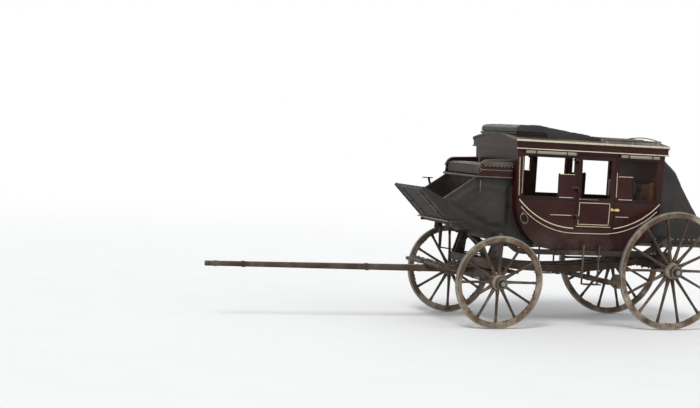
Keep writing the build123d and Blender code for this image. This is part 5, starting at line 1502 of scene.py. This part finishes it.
handle_z, screw_proud = 1.528, 0.0048
hinge_heights, post_rise = (1.412, 1.762, 2.112), 0.034
for side, hand in hands:
    leaves, screws, post_leaves, post_screws = [], [], [], []
    for z in hinge_heights:
        leaves.append([on_side(door_front_x - 0.010 - 0.030 * k / 3, z, side) for k in range(4)])
        screws += [[on_side(door_front_x - 0.034, z + dz, side, screw_proud)] for dz in (-0.016, 0.016)]
        post_z = z + post_rise
        post_leaves.append([on_side(door_front_x + 0.016 + 0.055 * k / 4, post_z, side) for k in range(5)])
        post_screws += [[on_side(door_front_x + dx, post_z, side, screw_proud)] for dx in (0.050, 0.064)]
    leaf_irons = together(beading(leaves, black_iron, 0.052, 0.0035, 0.001),
                          heads_on(screws, black_iron, 0.0042, 0.0022, 0.6, 10))
    fitted(f"{hand}_door_leaves", leaf_irons, black_iron, f"{hand}_door_leaf")
    post_irons = together(beading(post_leaves, black_iron, 0.024, 0.0035, 0.001),
                          heads_on(post_screws, black_iron, 0.0042, 0.0022, 0.6, 10))
    fitted(f"{hand}_hinge_leaves", post_irons, black_iron, "coach")
    rose_spot = on_side(door_rear_x + 0.0315, handle_z, side, 0.003)
    rose = heads_on([[rose_spot]], brass_coat, 0.021, 0.006, 0.7, 24)
    fitted(f"{hand}_handle_rose", rose, brass_coat, f"{hand}_door_leaf")
    plate = [on_side(door_rear_x - 0.020 - 0.045 * k / 3, handle_z, side) for k in range(4)]
    fitted(f"{hand}_handle_keeper", beading([plate], brass_coat, 0.034, 0.003, 0.001),
           brass_coat, "coach")

# Corner loops: an oval loop of round iron stands off each lower front corner of the cabin, on
# two short legs with flanges on the post.

loop_x, loop_z = -0.517, 1.383
for side, hand in hands:
    ring = []
    for k in range(32):
        a = 2 * math.pi * k / 32
        x = loop_x + 0.050 * math.cos(a) + 0.014 * math.sin(a)
        ring.append(on_side(x, loop_z + 0.062 * math.sin(a), side, 0.026))
    flanges, legs = [], []
    for dx, dz in ((0.012, 0.060), (-0.012, -0.060)):
        flanges.append([on_side(loop_x + dx, loop_z + dz, side, 0.003)])
        legs.append([on_side(loop_x + dx, loop_z + dz, side, 0.016)])
    loop = together(beading([ring], worn_iron, 0.011, 0.010, 0.0045, closed=True),
                    heads_on(flanges, worn_iron, 0.019, 0.006, 0.8, 16),
                    heads_on(legs, worn_iron, 0.006, 0.028, 1.0, 10))
    fitted(f"{hand}_corner_loop", loop, worn_iron, "coach")

# Steps: each hanger is bolted to the sill, and the trodden plates are cut with raised ribs.

step_x, tread_z, boot_step_x, boot_tread_z = -1.515, 0.5725, 0.309, 1.3075
step_marks, ribs = [], []
for side in (1, -1):
    for dx in (-0.112, 0.112):
        starts = [(step_x + dx, side * 0.90, z) for z in (1.020, 1.048)]
        step_marks += struck("steps", starts, (0, -side, 0))
    for k in range(5):
        x = step_x - 0.088 + 0.044 * k
        ribs.append([((x, side * 0.640, tread_z), up), ((x, side * 0.724, tread_z), up)])
    for k in range(3):
        x = boot_step_x + 0.038 * k
        ribs.append([((x, side * 0.510, boot_tread_z), up), ((x, side * 0.540, boot_tread_z), up)])
step_irons = together(bolts(step_marks, black_iron, 0.008, 0.007, 4, 1.2),
                      beading(ribs, worn_iron, 0.007, 0.0035, 0.0015))
fitted("step_irons", step_irons, worn_iron, "coach")

# Driver's seat: bent ash sides capped by a stuffed leather arm roll, with a leather facing nailed
# along the upper half, an iron nosing on the seat board and brass nails round the front curve.

seat_curve = [(0.068, 1.955), (0.068, 1.985), (0.060, 2.012), (0.045, 2.040), (0.022, 2.062), (-0.006, 2.075),
              (-0.040, 2.080), (-0.120, 2.084), (-0.240, 2.090), (-0.376, 2.097)]
seat_edge_z, seat_half = 1.880, 0.560
rail_z, seat_rear_x = 1.966, -0.376
for side, hand in hands:
    out = (0, side, 0)
    ups = cross_flat([Vector(point) for point in seat_curve])
    roll = [((x, side * (seat_half - 0.012), z - 0.004), (lift.x, 0, lift.y))
            for (x, z), lift in zip(seat_curve, ups)]
    facing_strip = [((x, side * seat_half, 2.046 + (0.004 if x > 0 else 0)), out)
                    for x in (0.030, -0.010, -0.080, -0.180, -0.280, seat_rear_x)]
    covers = together(beading([roll], rubbed_leather, 0.040, 0.020, 0.0095),
                      beading([facing_strip], rubbed_leather, 0.062, 0.007, 0.003))
    fitted(f"{hand}_arm_roll", covers, rubbed_leather, "coach")
    nosing = [[((x, side * seat_half, z), out), ((x_rear, side * seat_half, z), out)]
              for x, x_rear, z in ((0.100, -0.380, seat_edge_z), (0.060, seat_rear_x, rail_z))]
    nails = [[((x - 0.014, side * (seat_half + 0.001), z - 0.006), out)] for x, z in seat_curve[:7]]
    nails += [[((-0.010 - 0.052 * k, side * (seat_half + 0.0065), 2.012), out)] for k in range(8)]
    grab = [((0.045, side * (boot_half + off), z), (0, side * lean[0], lean[1])) for off, z, lean in (
        (0.012, 1.668, (0, -1)), (0.044, 1.676, (1, -0.6)), (0.048, 1.690, (1, 0)),
        (0.048, 1.810, (1, 0)), (0.044, 1.824, (1, 0.6)), (0.012, 1.832, (0, 1)))]
    irons = together(beading(nosing, worn_iron, 0.012, 0.003, 0.0012),
                     beading([grab], worn_iron, 0.011, 0.009, 0.004))
    fitted(f"{hand}_seat_irons", irons, worn_iron, "coach")
    fitted(f"{hand}_seat_nails", heads_on(nails, brass_coat, 0.0055, 0.004, 0.55, 10),
           brass_coat, "coach")
front_nosing = [((0.1025, y, seat_edge_z), (1, 0, 0)) for y in (-seat_half, seat_half)]
fitted("seat_front_nosing", beading([front_nosing], worn_iron, 0.012, 0.003, 0.0012),
       worn_iron, "coach")

# Footboard: four ash boards on two iron stays that come up from under the boot, edged with
# half-round iron. An iron rail crosses its foot, and two timber cleats lie across its face.

board_along, board_out = Vector((0.70711, 0, 0.70711)), Vector((0.70711, 0, -0.70711))
board_heel = Vector((front_axle_x + boot_heel.x, 0, boot_heel.y))
board_long, board_thick = 0.6293, 0.028


def on_board(along, y, face=1):
    """A spot on the footboard's lower (1) or upper (-1) face, with its facing."""
    lift = 0.0 if face > 0 else board_thick * 0.99
    return board_heel + board_along * along - board_out * lift + Vector((0, y, 0)), board_out * face


seams = [[on_board(along, -0.498, face), on_board(along, 0.498, face)]
         for along in (0.160, 0.316, 0.472) for face in (1, -1)]
fitted("footboard_seams", beading(seams, black_iron, 0.004, 0.0006, 0.0002),
       boot_leather, "coach")
stays = [[on_board(0.010, y), on_board(0.560, y)] for y in (-0.30, 0.30)]
rims = [[on_board(0.012, side * 0.492), on_board(board_long - 0.010, side * 0.492)] for side in (-1, 1)]
rims.append([on_board(board_long - 0.010, -0.498), on_board(board_long - 0.010, 0.498)])
stay_bolts = [[on_board(along, y)] for along in (0.05, 0.20, 0.36, 0.53) for y in (-0.30, 0.30)]
fitted("footboard_irons", together(
    beading(stays, black_iron, 0.038, 0.006, 0.001),
    beading(rims, black_iron, 0.016, 0.005, 0.0022),
    bolts(stay_bolts, black_iron, 0.009, 0.012, 8, 1.3)), black_iron, "coach")
foot_rail = beading([[on_board(0.072, -0.470), on_board(0.072, 0.470)]], tyre_coat, 0.026, 0.018, 0.008)
fitted("footboard_rail", foot_rail, tyre_coat, "coach")
cleats = [[on_board(along, -0.44, -1), on_board(along, 0.44, -1)] for along in (0.230, 0.420)]
fitted("footboard_cleats", beading(cleats, board_coat, 0.036, 0.020, 0.004),
       board_coat, "coach")

# Boot nails: the leather of each side is fixed by japanned nails along its top edge, down its
# rear edge by the cabin and under the piping.

for side, hand in hands:
    slope = along_top(14, seat_front + 0.024, cheek_dip.x - seat_front - 0.036)
    nails = [[on_cheek(x, z, side, 0.005)] for x, z in slope]
    for k in range(22):
        z = 1.100 + 0.033 * k
        cabin_x = boot_wall + 0.008
        if z <= tub_centre:
            cabin_x += tub_reach(z) - tub_radius
        x = min(max(boot_start.x + 0.030 + max(0.0, 1.4 - z), cabin_x), 0.2)
        if boot_bottom(x) + 0.012 < z < boot_top - 0.03:
            nails.append([on_cheek(x, z, side, 0.001)])
    fitted(f"{hand}_boot_nails", heads_on(nails, worn_iron, 0.0055, 0.004, 0.5, 10),
           worn_iron, "coach")

# Roof fittings: five timber slats lie lengthwise on its rear half, and the canvas is tacked
# along its edge. Each rail post has an iron flange with two screws.

slat_front_x, slat_long = -1.70, 0.70
post_xs, post_y = (-1.655, -2.019, -2.383), 0.620
end_post_x, end_post_y = -2.503, 0.500
above_z = 3.0
slats, flanges = [], []
for y in (-0.44, -0.22, 0.0, 0.22, 0.44):
    starts = [(slat_front_x - slat_long * k / 10, y, above_z) for k in range(11)]
    line = [spot for [spot] in struck("roof", starts, down)]
    slats.append([(point, line[5][1]) for point, _ in line])
fitted("roof_slats", beading(slats, board_coat, 0.040, 0.014, 0.003),
       board_coat, "coach")
posts = [(x, side * post_y) for x in post_xs for side in (1, -1)]
for x, y in posts + [(end_post_x, end_post_y), (end_post_x, -end_post_y)]:
    flanges += struck("roof", [(x, y, above_z)], down)
screws = [[(point + Vector((dx, 0, 0.003)), facing)]
          for [(point, facing)] in flanges for dx in (-0.014, 0.014)]
rail_flanges = together(heads_on(flanges, worn_iron, 0.024, 0.007, 0.75, 16),
                        heads_on(screws, worn_iron, 0.004, 0.006, 0.6, 8))
fitted("rail_flanges", rail_flanges, worn_iron, "coach")
tacks = []
for k in range(55):
    x = roof_low.x + 0.020 + (roof_high.x - roof_low.x - 0.040) * k / 54
    tacks += [[((x, side * (roof_high.y + 0.0042), roof_low.z + 0.014), (0, side, 0))] for side in (1, -1)]
fitted("roof_tacks", heads_on(tacks, worn_iron, 0.0035, 0.002, 0.6, 8),
       worn_iron, "coach")

# Roof seat board: a thin beech strip, painted dark, is pinned along the upper edge of its front
# and of both its sides.

deck_low, deck_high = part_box("deck_seat")
strip_z, strip_half = deck_high.z - 0.013, 0.556
edges = [[((deck_high.x, y, strip_z), (1, 0, 0)) for y in (-strip_half, strip_half)]]
for side in (1, -1):
    edges.append([((x, side * deck_high.y, strip_z), (0, side, 0))
                  for x in (deck_high.x - 0.004, deck_low.x + 0.004)])
fitted("roof_seat_strip", beading(edges, trim_coat, 0.022, 0.005, 0.002), trim_coat, "coach")

# Rear boot irons: three flat irons run out under the deck, the deck's edge is bound with a strip,
# and a thong laces the leather down to it through brass eyelets.

deck_end_x, _, under_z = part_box("rear_boot_deck")[0]
deck_half, iron_ys = 0.500, (-0.38, 0.0, 0.38)
edge_z, lace_z = under_z + 0.018, under_z + 0.024
eyelet_z, rear_eyelet_z, bearer_front_x = 1.160, 1.150, -2.420
bearers = [[((x, y, under_z), down) for x in (deck_end_x + 0.012, bearer_front_x)] for y in iron_ys]
edge = [[((deck_end_x, y, edge_z), (-1, 0, 0)) for y in (-deck_half, deck_half)]]
for side in (1, -1):
    edge.append([((x, side * deck_half, edge_z), (0, side, 0)) for x in (deck_end_x, taut_x)])
bearer_bolts = [[(Vector((x, y, under_z - 0.007)), Vector(down))]
                for x in (-3.28, -3.00, -2.72) for y in iron_ys]
rear_irons = together(beading(bearers, black_iron, 0.044, 0.008, 0.001),
                      beading(edge, black_iron, 0.030, 0.004, 0.001),
                      bolts(bearer_bolts, black_iron, 0.009, 0.008))
fitted("rear_boot_irons", rear_irons, black_iron, "coach")
eyelets, thongs = [], []
for side in (1, -1):
    last = None
    for k in range(10):
        x = deck_end_x + 0.060 + 0.084 * k
        hit, out = on_surface(cover_tree, (x, side * 0.8, eyelet_z), (0, -side, 0))
        eyelets.append([(hit + out * 0.001, out)])
        hook = (Vector((x + 0.042, side * (deck_half + 0.004), lace_z)), Vector((0, side, 0)))
        if last:
            thongs.append([last, (hit + out * 0.002, out)])
        thongs.append([(hit + out * 0.002, out), hook])
        last = hook
for k in range(9):
    y = -0.42 + 0.105 * k
    hit, out = on_surface(cover_tree, (deck_end_x - 0.4, y, rear_eyelet_z), (1, 0, 0))
    eyelets.append([(hit + out * 0.001, out)])
    hook = (Vector((deck_end_x - 0.004, y + 0.03, lace_z)), Vector((-1, 0, 0)))
    thongs.append([(hit + out * 0.002, out), hook])
fitted("rear_boot_eyelets", heads_on(eyelets, brass_coat, 0.010, 0.003, 0.7, 14),
       brass_coat, "coach")
fitted("rear_boot_lacing", beading(thongs, rubbed_leather, 0.007, 0.004, 0.0016),
       rubbed_leather, "coach")
